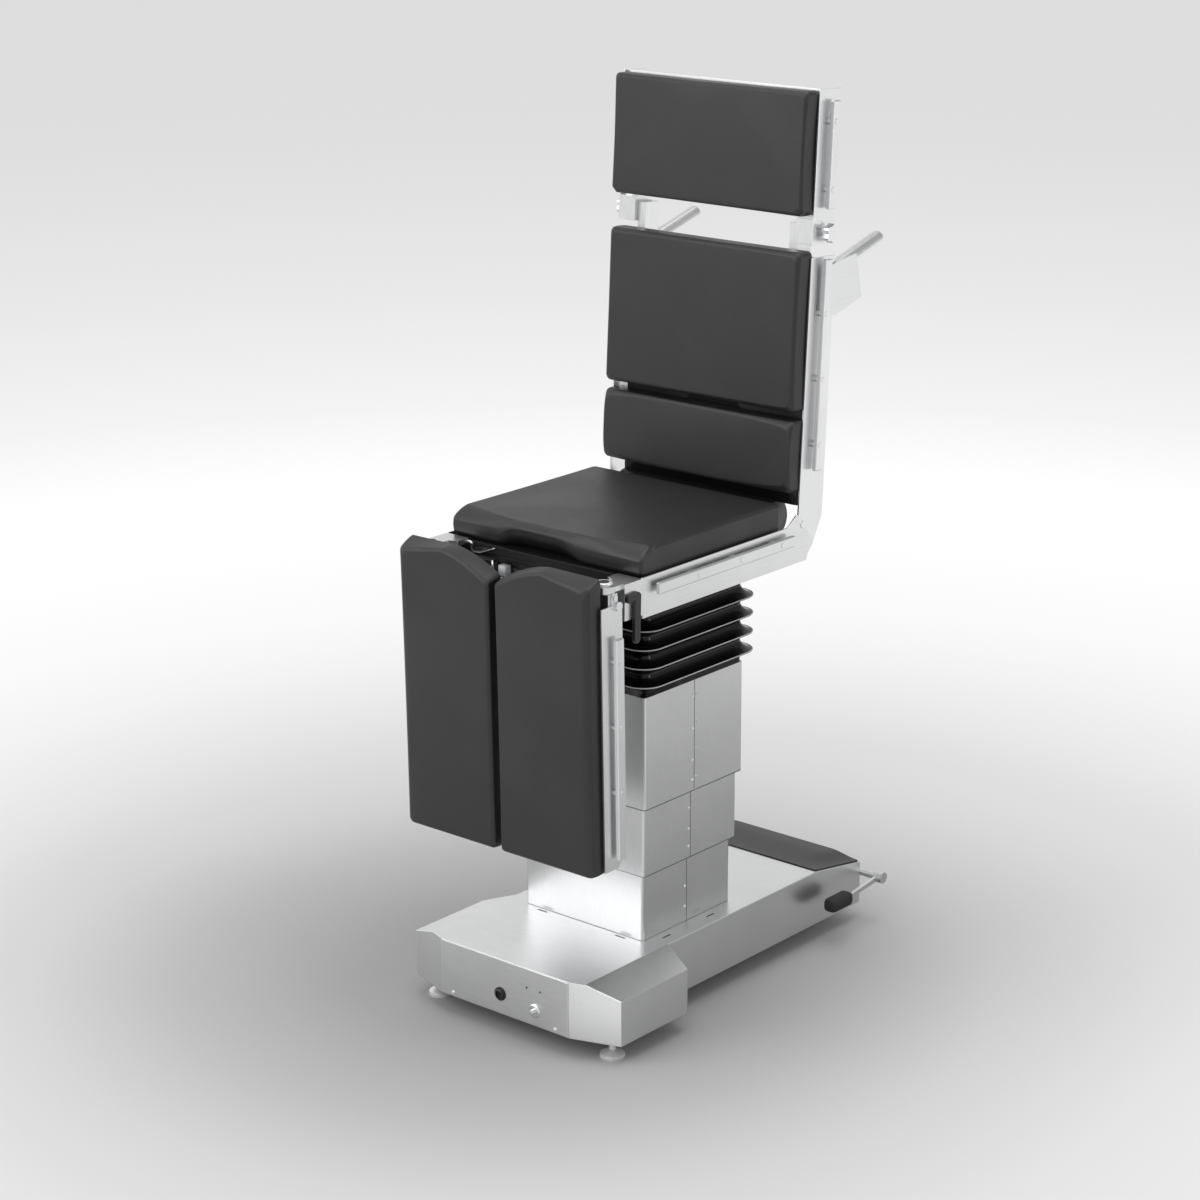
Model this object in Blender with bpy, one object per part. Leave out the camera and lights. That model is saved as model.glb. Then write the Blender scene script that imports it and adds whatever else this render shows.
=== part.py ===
"""Operating table with a telescopic column, built as separate named pieces.

Metres, +Z up. X runs across the table, the leg sections face -Y and the back rises at +Y.
Every moving piece has its origin on its own joint axis.
"""
import math

import bmesh
import bpy
from mathutils import Matrix, Vector

GAP = 0.0003            # between pieces that touch

# Base: a folded steel cover over a chassis plate, T shaped in plan
BASE_CLEAR = 0.045      # lower edge of the cover above the floor
BASE_H = 0.132
WING_DROP = 0.027       # the wings and the rear slope fall this much
REAR_DROP = 0.029
FRONT_HALF = 0.1885     # half width of the flat front face
BODY_HALF = 0.2235
WING_HALF = 0.302
FRONT_Y = -0.423
SWEEP = 0.34            # the front corners run back this much per metre of width
WING_REAR_Y = -0.158
STEP_Y = -0.130
SLOPE_Y = 0.417
REAR_Y = 0.595
SHEET = 0.002
CHASSIS_T = 0.030
CHASSIS_Z = 0.095       # underside of the chassis plate

# Column: three sleeves that slide over each other
COL_X = 0.171           # half sizes of the lowest sleeve
COL_Y = 0.1545
COL_STEP_X = 0.010
COL_STEP_Y = 0.0085
SLEEVE_T = 0.002
LOWER_SHOWN = 0.157
MIDDLE_SHOWN = 0.161
UPPER_SHOWN = 0.257
SLEEVE_LAP = 0.085
GLIDE_H = 0.030         # glides between the sleeves
GLIDE_HALF = 0.100
RAM_R = 0.030
CYLINDER_R = 0.045

# Crosshead: a shaft along Y in the column head and one along X in the seat
CROSS_RISE = 0.098      # above the top of the column
SHAFT_R = 0.015
SHAFT_FIT = 0.0003
LUG_OUT = 0.105
LUG_T = 0.020
LUG_HALF = 0.030

# Bellows
PLEAT_H = 0.0423
PLEAT_OUT = 0.030
BELLOWS_T = 0.003
BELLOWS_COLLAR = 0.013
LOWER_PLEATS = 2
UPPER_PLEATS = 4

# Table top
PAD_HALF = 0.2675       # half width of the pads
PLATE_T = 0.004
SIDE_GAP = 0.0007       # pad to side plate
SEAT_RISE = 0.224       # seat side plates above the top of the column
PLATE_H = 0.088
BOARD_T = 0.018
SEAT_PAD_T = 0.064
SEAT_FRONT_Y = -0.283
SEAT_REAR_Y = 0.205
RAIL_H = 0.025          # accessory rail, 25 by 10 mm
RAIL_T = 0.010
RAIL_STAND = 0.0075     # between the side plate and the rail
RAIL_PITCH = 0.145      # between the stand-offs
EDGE = 0.006            # rounding of the pads

# Back section, in its own upright frame: y is forward or rearward of the pivot, z is up the back
BACK_PIVOT_Y = 0.272
BACK_PIVOT_RISE = 0.084  # above the lower edge of the seat side plates
RECLINE = math.radians(3.3)
PLATE_FRONT = -0.012
PLATE_REAR = 0.075
PAD_BACK = -0.002
PAD_T = 0.050
BACK_BOARD_T = 0.012
LOWER_PAD = (0.074, 0.234)
UPPER_PAD = (0.253, 0.603)
BACK_TOP = 0.590
BACK_LOW = 0.066
HEAD_LUG_W = 0.022
HEAD_AXIS = (0.028, 0.642)
HEAD_BLOCK_W = 0.047
HEAD_PAD = (0.680, 0.946)
HEAD_TOP = 0.950
HEAD_LOW = 0.664
HANDLE_R = 0.0165
HANDLE_L = 0.170
HANDLE_RISE = math.radians(19)

# Leg sections
LEG_AXIS_Y = -0.372
LEG_AXIS_RISE = 0.066   # above the lower edge of the seat side plates
LEG_TUCK = math.radians(1.0)
LEG_LEN = 0.604         # from the axis to the lower end
LEG_PLATE = (-0.043, 0.023)
LEG_PAD_T = 0.046
LEG_PAD_BACK = -0.032
EYE_R = 0.0095          # eye round the tilt pin, which passes under the socket
SHOULDER = -0.0155      # the plate widens below this, clear of the socket when raised
LEG_PAD_SPLIT = 0.008   # half the gap between the two leg pads
LEG_PAD_TOP = 0.048
LEG_PAD_FALL = 0.042      # of the top edge towards the gap between the legs
LEG_PAD_FACET = 0.022     # deepest cut at the front of the outer corner
SWIVEL_X = 0.2515
RING_R = 0.0205
RING_HOLE = 0.0155
RING_H = 0.014
PIN_R = 0.006

# Feet, casters and brake
FOOT_R = 0.0275
FOOT_FRONT = (0.2535, -0.356)
FOOT_REAR = (0.098, 0.500)
CASTER_FRONT = (0.130, -0.215)
CASTER_REAR = (0.120, 0.360)
WHEEL_R = 0.030
WHEEL_W = 0.022
WHEEL_CLEAR = 0.0045
TRAIL = 0.018
PEDAL_Z = 0.118
PEDAL_BEHIND = 0.012
PEDAL_X = 0.270
PEDAL_REACH = 0.162      # to the middle of the rubber, which hangs a little lower than the shaft
PEDAL_DROP = 0.012
RUBBER = (0.034, 0.080, 0.033)

# Levels that follow from the sizes above
BASE_TOP = BASE_CLEAR + BASE_H
HEAD_Z = BASE_TOP + LOWER_SHOWN + MIDDLE_SHOWN + UPPER_SHOWN
CROSS_Z = HEAD_Z + CROSS_RISE
SEAT_LOW = HEAD_Z + SEAT_RISE
SEAT_TOP = SEAT_LOW + PLATE_H
BOARD_TOP = SEAT_TOP - 0.006
BOARD_LOW = BOARD_TOP - BOARD_T
BACK_PLATE_X = PAD_HALF + SIDE_GAP
SEAT_PLATE_X = BACK_PLATE_X + PLATE_T + 0.0005
PLATE_OUT = SEAT_PLATE_X + PLATE_T
RAIL_IN = PLATE_OUT + RAIL_STAND
BACK_PIVOT = Vector((0, BACK_PIVOT_Y, SEAT_LOW + BACK_PIVOT_RISE))
LEG_Z = SEAT_LOW + LEG_AXIS_RISE

for old in list(bpy.data.objects):
    bpy.data.objects.remove(old, do_unlink=True)


# Materials
def material(name, colour, metallic, roughness):
    made = bpy.data.materials.new(name)
    made.use_nodes = True
    shader = made.node_tree.nodes["Principled BSDF"]
    shader.inputs["Base Color"].default_value = (*colour, 1)
    shader.inputs["Metallic"].default_value = metallic
    shader.inputs["Roughness"].default_value = roughness
    return made


LOOKS = {
    "steel": ((0.62, 0.62, 0.61), 1.0, 0.32),
    "frame": ((0.30, 0.31, 0.32), 0.4, 0.5),
    "dark": ((0.075, 0.08, 0.08), 0.0, 0.45),
    "black": ((0.02, 0.02, 0.02), 0.0, 0.35),
    "rubber": ((0.05, 0.055, 0.06), 0.0, 0.7),
    "pad": ((0.065, 0.065, 0.065), 0.0, 0.6),
    "bright": ((0.75, 0.75, 0.74), 1.0, 0.2),
}


# Solids as bmesh
def prism(outline, axis, low, high):
    """Outline of pairs in the two other axes, pushed along the axis from low to high."""
    bm = bmesh.new()

    def at(pair, depth):
        place = list(pair)
        place.insert("XYZ".index(axis), depth)
        return bm.verts.new(place)

    ends = [[at(p, depth) for p in outline] for depth in (low, high)]
    bm.faces.new(ends[0])
    bm.faces.new(reversed(ends[1]))
    count = len(outline)
    for k in range(count):
        m = (k + 1) % count
        bm.faces.new((ends[0][k], ends[1][k], ends[1][m], ends[0][m]))
    bmesh.ops.recalc_face_normals(bm, faces=bm.faces)
    return bm


def block(x, y, z):
    return prism([(x[0], y[0]), (x[1], y[0]), (x[1], y[1]), (x[0], y[1])], "Z", *z)


def ring_points(radius, count, centre=(0, 0)):
    step = math.tau / count
    return [(centre[0] + radius * math.cos(k * step), centre[1] + radius * math.sin(k * step))
            for k in range(count)]


def rod(axis, centre, radius, low, high, count=24):
    """Centre gives the two coordinates across the axis."""
    return prism(ring_points(radius, count, centre), axis, low, high)


def lathe(profile, count=24):
    """Radius and height pairs turned about Z; a radius of zero closes the end."""
    bm = bmesh.new()
    rows = []
    for radius, height in profile:
        if radius == 0:
            rows.append([bm.verts.new((0, 0, height))])
        else:
            rows.append([bm.verts.new((x, y, height)) for x, y in ring_points(radius, count)])
    for below, above in zip(rows, rows[1:]):
        for k in range(count):
            m = (k + 1) % count
            corners = [below[k % len(below)], below[m % len(below)],
                       above[m % len(above)], above[k % len(above)]]
            bm.faces.new(list(dict.fromkeys(corners)))
    bmesh.ops.recalc_face_normals(bm, faces=bm.faces)
    return bm


def stack(rings, closed):
    """Rings of points joined in order, capped at both ends or closed into a loop."""
    bm = bmesh.new()
    rows = [[bm.verts.new(p) for p in ring] for ring in rings]
    pairs = list(zip(rows, rows[1:]))
    if closed:
        pairs.append((rows[-1], rows[0]))
    else:
        bm.faces.new(rows[0])
        bm.faces.new(reversed(rows[-1]))
    for below, above in pairs:
        count = len(below)
        for k in range(count):
            m = (k + 1) % count
            bm.faces.new((below[k], below[m], above[m], above[k]))
    bmesh.ops.recalc_face_normals(bm, faces=bm.faces)
    return bm


def softened(bm, size, segments=2):
    """All edges sharper than 30 degrees rounded."""
    sharp = [e for e in bm.edges if e.calc_face_angle(0) > math.radians(30)]
    bmesh.ops.bevel(bm, geom=sharp, offset=size, segments=segments, profile=0.5,
                    affect="EDGES", clamp_overlap=True)
    return bm


def moved(bm, by):
    bmesh.ops.translate(bm, verts=bm.verts, vec=by)
    return bm


def turned(bm, angle, axis, centre=(0, 0, 0)):
    bmesh.ops.rotate(bm, verts=bm.verts, cent=centre, matrix=Matrix.Rotation(angle, 3, axis))
    return bm


def mirrored(bm, side):
    if side < 0:
        bmesh.ops.scale(bm, verts=bm.verts, vec=(-1, 1, 1))
        bmesh.ops.reverse_faces(bm, faces=bm.faces)
    return bm


def object_of(name, bm):
    mesh = bpy.data.meshes.new(name)
    bm.to_mesh(mesh)
    bm.free()
    made = bpy.data.objects.new(name, mesh)
    bpy.context.scene.collection.objects.link(made)
    return made


def fused(solids, holes=()):
    """One bmesh from overlapping solids less the holes, by exact Booleans."""
    whole = object_of("whole", solids[0])
    others = [(object_of("other", s), "UNION") for s in solids[1:]]
    others += [(object_of("other", h), "DIFFERENCE") for h in holes]
    for other, way in others:
        step = whole.modifiers.new("step", "BOOLEAN")
        step.operation = way
        step.solver = "EXACT"
        step.object = other
    graph = bpy.context.evaluated_depsgraph_get()
    graph.update()
    mesh = bpy.data.meshes.new_from_object(whole.evaluated_get(graph))
    bm = bmesh.new()
    bm.from_mesh(mesh)
    bmesh.ops.remove_doubles(bm, verts=bm.verts, dist=0.00002)
    bmesh.ops.dissolve_limit(bm, angle_limit=math.radians(0.5), verts=bm.verts, edges=bm.edges)
    bmesh.ops.triangulate(bm, faces=[f for f in bm.faces if len(f.verts) > 4])
    for item in [whole] + [o for o, _ in others]:
        bpy.data.objects.remove(item, do_unlink=True)
    return bm


PIECES = []


def piece(name, look, bm, at=(0, 0, 0), turn=0.0, side=1):
    """Named object with its origin at the joint, tilted about X; side -1 mirrors the shape."""
    made = object_of(name, mirrored(bm, side))
    made.location = at
    made.rotation_euler = (turn, 0, 0)
    colour, metallic, roughness = LOOKS[look]
    made.data.materials.append(material(name + " finish", colour, metallic, roughness))
    for face in made.data.polygons:
        face.use_smooth = True
    made.data.set_sharp_from_angle(angle=math.radians(35))
    PIECES.append(made)
    return made


# Base cover
def base_plan(inset):
    """Right half of the plan from the front to the rear, moved inward by the inset."""
    def swept(x):
        return FRONT_Y + (x - FRONT_HALF) * SWEEP + inset

    return [
        (FRONT_HALF - inset, FRONT_Y + inset),
        (BODY_HALF - inset, swept(BODY_HALF)),
        (WING_HALF - inset, swept(WING_HALF)),
        (WING_HALF - inset, WING_REAR_Y - inset),
        (BODY_HALF - inset, STEP_Y - inset),
        (BODY_HALF - inset, SLOPE_Y - inset),
        (BODY_HALF - inset, REAR_Y - inset),
    ]


def base_rings(inset, top):
    """The outline at the top edge, with the wings and the rear lower than the rest."""
    drops = (0, 0, WING_DROP, WING_DROP, 0, 0, REAR_DROP)
    half = base_plan(inset)
    right = [(x, y, top - d) for (x, y), d in zip(half, drops)]
    left = [(-x, y, z) for x, y, z in reversed(right)]
    return right + left


def base_shell():
    bm = bmesh.new()
    skins = []
    for inset, top in ((0, BASE_TOP), (SHEET, BASE_TOP - SHEET)):
        upper = [bm.verts.new(p) for p in base_rings(inset, top)]
        lower = [bm.verts.new((v.co.x, v.co.y, BASE_CLEAR)) for v in upper]
        skins.append((upper, lower))
    count = len(skins[0][0])
    for upper, lower in skins:
        last = count - 1
        # middle, the two wings and the rear slope
        middle = [upper[k] for k in (0, 1, 4, 5)] + [upper[last - k] for k in (5, 4, 1, 0)]
        bm.faces.new(middle)
        bm.faces.new([upper[k] for k in (1, 2, 3, 4)])
        bm.faces.new([upper[last - k] for k in (1, 2, 3, 4)])
        bm.faces.new([upper[5], upper[6], upper[last - 6], upper[last - 5]])
        for k in range(count):
            m = (k + 1) % count
            bm.faces.new((upper[k], upper[m], lower[m], lower[k]))
    for k in range(count):
        m = (k + 1) % count
        bm.faces.new((skins[0][1][k], skins[0][1][m], skins[1][1][m], skins[1][1][k]))
    bmesh.ops.recalc_face_normals(bm, faces=bm.faces)
    return bm


slots = [block((x - 0.014, x + 0.014), (-COL_Y - 0.012, -COL_Y - 0.008),
               (BASE_TOP - 0.01, BASE_TOP + 0.01)) for x in (-0.115, 0.115)]
slots += [block((BODY_HALF - 0.034, BODY_HALF - 0.030), (y - 0.014, y + 0.014),
                (BASE_TOP - 0.01, BASE_TOP + 0.01)) for y in (-0.095, 0.060)]
opening = rod("Z", (0, 0), CYLINDER_R + 0.02, BASE_TOP - 0.01, BASE_TOP + 0.01, 32)
piece("base cover", "steel", fused([base_shell()], slots + [opening]))

CHASSIS_IN = SHEET + GAP
half = base_plan(CHASSIS_IN)
plan = half + [(-x, y) for x, y in reversed(half)]
chassis = prism(plan, "Z", CHASSIS_Z, CHASSIS_Z + CHASSIS_T)
FEET = {
    "front right": FOOT_FRONT,
    "front left": (-FOOT_FRONT[0], FOOT_FRONT[1]),
    "rear right": FOOT_REAR,
    "rear left": (-FOOT_REAR[0], FOOT_REAR[1]),
}
STEM_R = 0.008
sockets = [rod("Z", spot, STEM_R + GAP, CHASSIS_Z - 0.01, CHASSIS_Z + 0.024, 16)
           for spot in FEET.values()]
piece("base chassis", "frame", fused([chassis], sockets))

PANEL_IN = 0.003
panel_y = (FRONT_Y - GAP - SHEET, FRONT_Y - GAP)
panel = block((-FRONT_HALF + PANEL_IN, FRONT_HALF - PANEL_IN), panel_y,
              (BASE_CLEAR + PANEL_IN, BASE_TOP - PANEL_IN))
PANEL_SCREWS = ((-0.150, 0.056), (0.150, 0.056))
for x, z in PANEL_SCREWS:
    panel = fused([panel, rod("Y", (x, z), 0.004, panel_y[0] - 0.0015, panel_y[0] + 0.001, 12)])
panel_holes = [rod("Y", (x, 0.131), 0.0025, panel_y[0] - 0.01, panel_y[1] + 0.01, 12)
               for x in (0.069, 0.108)]
piece("front panel", "steel", fused([panel], panel_holes))

SOCKET = (-0.009, 0.0936)
socket = lathe([(0, 0), (0.0125, 0), (0.0125, 0.004), (0.0095, 0.006), (0.0080, 0.006),
                (0.0080, 0.002), (0.0018, 0.002), (0.0018, 0.005), (0, 0.005)], 20)
socket = moved(turned(socket, math.pi / 2, "X"), (SOCKET[0], panel_y[0] - GAP, SOCKET[1]))
piece("power socket", "black", socket)
STUD = (0.0915, 0.0825)
stud = lathe([(0, 0), (0.0160, 0), (0.0160, 0.002), (0.0130, 0.004), (0.0060, 0.004),
              (0.0060, 0.012), (0.0045, 0.014), (0, 0.014)], 20)
stud = moved(turned(stud, math.pi / 2, "X"), (STUD[0], panel_y[0] - GAP, STUD[1]))
piece("earth stud", "bright", stud)

# Dark cover on the rear slope, hipped toward its two rear corners
REAR_T = 0.003
REAR_RISE = 0.013
EDGE_IN = 0.004
HIP_IN = 0.080
fall = REAR_DROP / (REAR_Y - SLOPE_Y)


def slope_z(y):
    return BASE_TOP - (y - SLOPE_Y) * fall


def rear_cover():
    front, rear = SLOPE_Y + EDGE_IN, REAR_Y
    wide, hip = BODY_HALF - EDGE_IN, BODY_HALF - HIP_IN
    low = [(wide, front), (wide, rear), (hip, rear), (-hip, rear), (-wide, rear), (-wide, front)]
    rises = (REAR_T, REAR_T, REAR_RISE, REAR_RISE, REAR_T, REAR_T)
    bm = bmesh.new()
    under = [bm.verts.new((x, y, slope_z(y) + GAP)) for x, y in low]
    over = [bm.verts.new((x, y, slope_z(y) + GAP + r)) for (x, y), r in zip(low, rises)]
    bm.faces.new(under)
    for face in ((0, 1, 2), (0, 2, 3, 5), (3, 4, 5)):
        bm.faces.new([over[k] for k in face])
    for k in range(6):
        m = (k + 1) % 6
        bm.faces.new((under[k], under[m], over[m], over[k]))
    bmesh.ops.recalc_face_normals(bm, faces=bm.faces)
    return bm


piece("rear cover", "dark", rear_cover())


# Feet
def foot():
    return lathe([(0, 0), (FOOT_R, 0), (FOOT_R, 0.008), (0.014, 0.016), (STEM_R, 0.018),
                  (STEM_R, CHASSIS_Z - 0.012), (0.013, CHASSIS_Z - 0.012),
                  (0.013, CHASSIS_Z - GAP), (STEM_R, CHASSIS_Z - GAP),
                  (STEM_R, CHASSIS_Z + 0.022), (0, CHASSIS_Z + 0.022)], 20)


for name, (x, y) in FEET.items():
    piece("foot " + name, "bright", foot(), at=(x, y, 0))

# Lifting beams with casters: the brake pedal lowers them
BEAM_TOP = CHASSIS_Z - GAP
BEAM_LOW = BEAM_TOP - 0.014
KING_R = 0.006
FORK_TOP = BEAM_LOW - GAP
AXLE_Z = WHEEL_CLEAR + WHEEL_R
AXLE_R = 0.004
BEAM_HALF_W = 0.020
for end, (cx, cy) in (("front", CASTER_FRONT), ("rear", CASTER_REAR)):
    beam = block((-cx - 0.03, cx + 0.03), (-BEAM_HALF_W, BEAM_HALF_W), (BEAM_LOW, BEAM_TOP))
    holes = [rod("Z", (s * cx, 0), KING_R + GAP, BEAM_LOW - 0.01, BEAM_TOP - 0.002, 16)
             for s in (1, -1)]
    piece("caster beam " + end, "frame", fused([beam], holes), at=(0, cy, 0))
    for side, s in (("right", 1), ("left", -1)):
        inner = WHEEL_W / 2 + 0.001
        cheek = [(-0.010, FORK_TOP - 0.004), (-0.010, AXLE_Z + 0.012), (TRAIL - 0.007, AXLE_Z - 0.006),
                 (TRAIL + 0.007, AXLE_Z - 0.006), (TRAIL + 0.009, AXLE_Z + 0.006),
                 (0.014, FORK_TOP - 0.004)]
        cheeks = [prism(cheek, "X", *sorted((k * inner, k * (inner + 0.003)))) for k in (1, -1)]
        plate = block((-0.016, 0.016), (-0.016, 0.016), (FORK_TOP - 0.005, FORK_TOP))
        king = rod("Z", (0, 0), KING_R, FORK_TOP - 0.004, BEAM_TOP - 0.003, 16)
        axle = rod("X", (TRAIL, AXLE_Z), AXLE_R, -inner - 0.004, inner + 0.004, 12)
        piece(f"caster fork {end} {side}", "bright", fused([plate, king, axle] + cheeks),
              at=(s * cx, cy, 0))
        half_w = WHEEL_W / 2
        wheel = lathe([(AXLE_R + GAP, -half_w), (WHEEL_R - 0.004, -half_w), (WHEEL_R, -half_w + 0.004),
                       (WHEEL_R, half_w - 0.004), (WHEEL_R - 0.004, half_w),
                       (AXLE_R + GAP, half_w), (AXLE_R + GAP, -half_w)], 28)
        bmesh.ops.remove_doubles(wheel, verts=wheel.verts, dist=0.00001)
        bmesh.ops.recalc_face_normals(wheel, faces=wheel.faces)
        piece(f"caster wheel {end} {side}", "rubber", turned(wheel, math.pi / 2, "Y"),
              at=(s * cx, cy + TRAIL, AXLE_Z))

# Brake pedal: one cross shaft behind the base with an arm and a rubber pad at each end
PEDAL_Y = REAR_Y + PEDAL_BEHIND
BAR_R = 0.009
bearing = block((-0.07, 0.07), (REAR_Y + GAP, PEDAL_Y + 0.018), (PEDAL_Z - 0.022, PEDAL_Z + 0.022))
bore = rod("X", (PEDAL_Y, PEDAL_Z), BAR_R + GAP, -0.1, 0.1, 20)
piece("pedal bearing", "frame", fused([softened(bearing, 0.003, 1)], [bore]))
shaft = rod("X", (0, 0), BAR_R, -PEDAL_X - 0.012, PEDAL_X + 0.012, 20)
ARM_END = -PEDAL_REACH - RUBBER[1] / 2 + 0.012
ARM_KINK = -PEDAL_REACH + RUBBER[1] / 2 + 0.007
ARM_HALF = (0.004, 0.0045)
arm_low, arm_top = -PEDAL_DROP - ARM_HALF[1], -PEDAL_DROP + ARM_HALF[1]
arm = [(0, 0.006), (ARM_KINK, arm_top), (ARM_END, arm_top), (ARM_END, arm_low),
       (ARM_KINK, arm_low), (0, -0.006)]
arms = []
for s in (1, -1):
    ends = sorted((s * (PEDAL_X - ARM_HALF[0]), s * (PEDAL_X + ARM_HALF[0])))
    arms.append(prism(arm, "X", *ends))
    ends = sorted((s * (PEDAL_X - 0.008), s * (PEDAL_X + 0.014)))
    arms.append(rod("X", (0, 0), 0.014, *ends, 20))
piece("brake pedal bar", "bright", fused([shaft] + arms), at=(0, PEDAL_Y, PEDAL_Z))
for side, s in (("right", 1), ("left", -1)):
    half = [v / 2 for v in RUBBER]
    grip = softened(block((-half[0], half[0]), (-half[1], half[1]), (-half[2], half[2])), 0.010, 2)
    grip = moved(grip, (s * PEDAL_X, -PEDAL_REACH, -PEDAL_DROP))
    slit = block((s * PEDAL_X - ARM_HALF[0] - GAP, s * PEDAL_X + ARM_HALF[0] + GAP),
                 (ARM_END - GAP, ARM_KINK), (arm_low - GAP, arm_top + GAP))
    piece("brake pedal rubber " + side, "rubber", fused([grip], [slit]), at=(0, PEDAL_Y, PEDAL_Z))


# Column sleeves and the lift drive
def rounded(half_x, half_y, radius, count=3):
    """Outline of a rectangle with rounded corners."""
    points = []
    for quarter, (sx, sy) in enumerate(((1, 1), (-1, 1), (-1, -1), (1, -1))):
        for k in range(count + 1):
            angle = (quarter + k / count) * math.pi / 2
            points.append((sx * (half_x - radius) + radius * math.cos(angle),
                           sy * (half_y - radius) + radius * math.sin(angle)))
    return points


def sleeve(step, low, high):
    """Folded tube; the widest shows its seam screws and the others carry glides near the top."""
    half_x, half_y = COL_X + step * COL_STEP_X, COL_Y + step * COL_STEP_Y
    outer = prism(rounded(half_x, half_y, 0.005, 2), "Z", low, high)
    inner = prism(rounded(half_x - SLEEVE_T, half_y - SLEEVE_T, 0.003, 2), "Z", low - 0.2, high + 0.2)
    extras = []
    for s in (1, -1):
        if step == 2:
            ends_x = sorted((s * (half_x - 0.001), s * (half_x + 0.0015)))
            spots = [(s * 0.008, low + (high - low) * (0.12 + 0.25 * k)) for k in range(4)]
            extras += [rod("X", spot, 0.0035, *ends_x, 10) for spot in spots]
        else:
            z = (high - 0.005 - GLIDE_H, high - 0.005)
            ends_x = sorted((s * (half_x - 0.001), s * (half_x + COL_STEP_X - SLEEVE_T - GAP)))
            ends_y = sorted((s * (half_y - 0.001), s * (half_y + COL_STEP_Y - SLEEVE_T - GAP)))
            extras.append(block(ends_x, (-GLIDE_HALF, GLIDE_HALF), z))
            extras.append(block((-GLIDE_HALF, GLIDE_HALF), ends_y, z))
    return fused([outer] + extras, [inner])


LOWER_TOP = BASE_TOP + LOWER_SHOWN
MIDDLE_TOP = LOWER_TOP + MIDDLE_SHOWN
piece("column cover lower", "steel", sleeve(0, BASE_TOP + GAP, LOWER_TOP + SLEEVE_LAP))
piece("column cover middle", "steel", sleeve(1, LOWER_TOP, MIDDLE_TOP + SLEEVE_LAP))
piece("column cover upper", "steel", sleeve(2, MIDDLE_TOP, HEAD_Z))

FLOOR_T = 0.012
CYL_LOW = CHASSIS_Z + CHASSIS_T + GAP
CYL_TOP = HEAD_Z - 0.262
cup = lathe([(0, 0), (0.062, 0), (0.062, 0.010), (CYLINDER_R, 0.010),
             (CYLINDER_R, CYL_TOP - CYL_LOW), (RAM_R + 0.0008, CYL_TOP - CYL_LOW),
             (RAM_R + 0.0008, FLOOR_T), (0, FLOOR_T)], 28)
piece("lift cylinder", "frame", cup, at=(0, 0, CYL_LOW))
HEAD_T = 0.014
ram = rod("Z", (0, 0), RAM_R, HEAD_Z - 0.365, HEAD_Z - HEAD_T - GAP, 28)
piece("lift ram", "bright", moved(ram, (0, 0, -CROSS_Z)), at=(0, 0, CROSS_Z))


# Column head with two lugs, the cross between the two tilt shafts, and the bellows
def lug(axis, side, low, high):
    spans = {"X": sorted((side * (LUG_OUT - LUG_T), side * LUG_OUT)), "Y": (-LUG_HALF, LUG_HALF)}
    if axis == "Y":
        spans = {"X": spans["Y"], "Y": spans["X"]}
    return block(spans["X"], spans["Y"], (low, high))


in_x = COL_X + 2 * COL_STEP_X - SLEEVE_T - GAP
in_y = COL_Y + 2 * COL_STEP_Y - SLEEVE_T - GAP
head = prism(rounded(in_x, in_y, 0.003, 2), "Z", HEAD_Z - HEAD_T, HEAD_Z)
lugs = [lug("Y", s, HEAD_Z - 0.004, CROSS_Z + 0.035) for s in (1, -1)]
bore = rod("Y", (0, CROSS_Z), SHAFT_R + SHAFT_FIT, -0.2, 0.2)
piece("column head", "frame", moved(fused([head] + lugs, [bore]), (0, 0, -CROSS_Z)),
      at=(0, 0, CROSS_Z))

CROSS_CORE = LUG_OUT - LUG_T - 0.004
core = softened(block((-0.05, 0.05), (-0.05, 0.05), (-0.032, 0.032)), 0.006, 1)
hubs = [block((-CROSS_CORE, CROSS_CORE), (-0.024, 0.024), (-0.024, 0.024)),
        block((-0.024, 0.024), (-CROSS_CORE, CROSS_CORE), (-0.024, 0.024))]
shafts = [rod(axis, (0, 0), SHAFT_R, -LUG_OUT + 0.001, LUG_OUT - 0.001) for axis in "XY"]
piece("tilt crosshead", "frame", fused([core] + hubs + shafts), at=(0, 0, CROSS_Z))


def rounded_ring(half_x, half_y, radius, z):
    return [(x, y, z) for x, y in rounded(half_x, half_y, radius)]


def bellows(low, first, pleats, high):
    """Pleated tube: outer rings upward, inner rings downward."""
    base_x = COL_X + 2 * COL_STEP_X
    base_y = COL_Y + 2 * COL_STEP_Y
    rows = [(low, 0.001)]
    for k in range(pleats):
        start = first + k * PLEAT_H
        rows += [(start, 0.001), (start + PLEAT_H / 2, PLEAT_OUT)]
    rows.append((first + pleats * PLEAT_H, 0.001))
    rows = [r for r in rows if low < r[0] < high - 0.001] + [(high, 0.001)]
    rows.insert(0, (low, 0.001))
    outer = [rounded_ring(base_x + out, base_y + out, 0.012 + out, z) for z, out in rows]
    inner = [rounded_ring(base_x + out - BELLOWS_T, base_y + out - BELLOWS_T,
                          0.012 + out - BELLOWS_T, z) for z, out in reversed(rows)]
    return stack(outer + inner, True)


BELLOWS_LOW = HEAD_Z + GAP
FIRST_PLEAT = HEAD_Z + BELLOWS_COLLAR
BELLOWS_MID = FIRST_PLEAT + LOWER_PLEATS * PLEAT_H
lower_half = bellows(BELLOWS_LOW, FIRST_PLEAT, LOWER_PLEATS, BELLOWS_MID - GAP)
upper_half = bellows(BELLOWS_MID, BELLOWS_MID, UPPER_PLEATS, BOARD_LOW - GAP)
piece("bellows lower", "black", moved(lower_half, (0, 0, -CROSS_Z)), at=(0, 0, CROSS_Z))
piece("bellows upper", "black", moved(upper_half, (0, 0, -CROSS_Z)), at=(0, 0, CROSS_Z))

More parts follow.
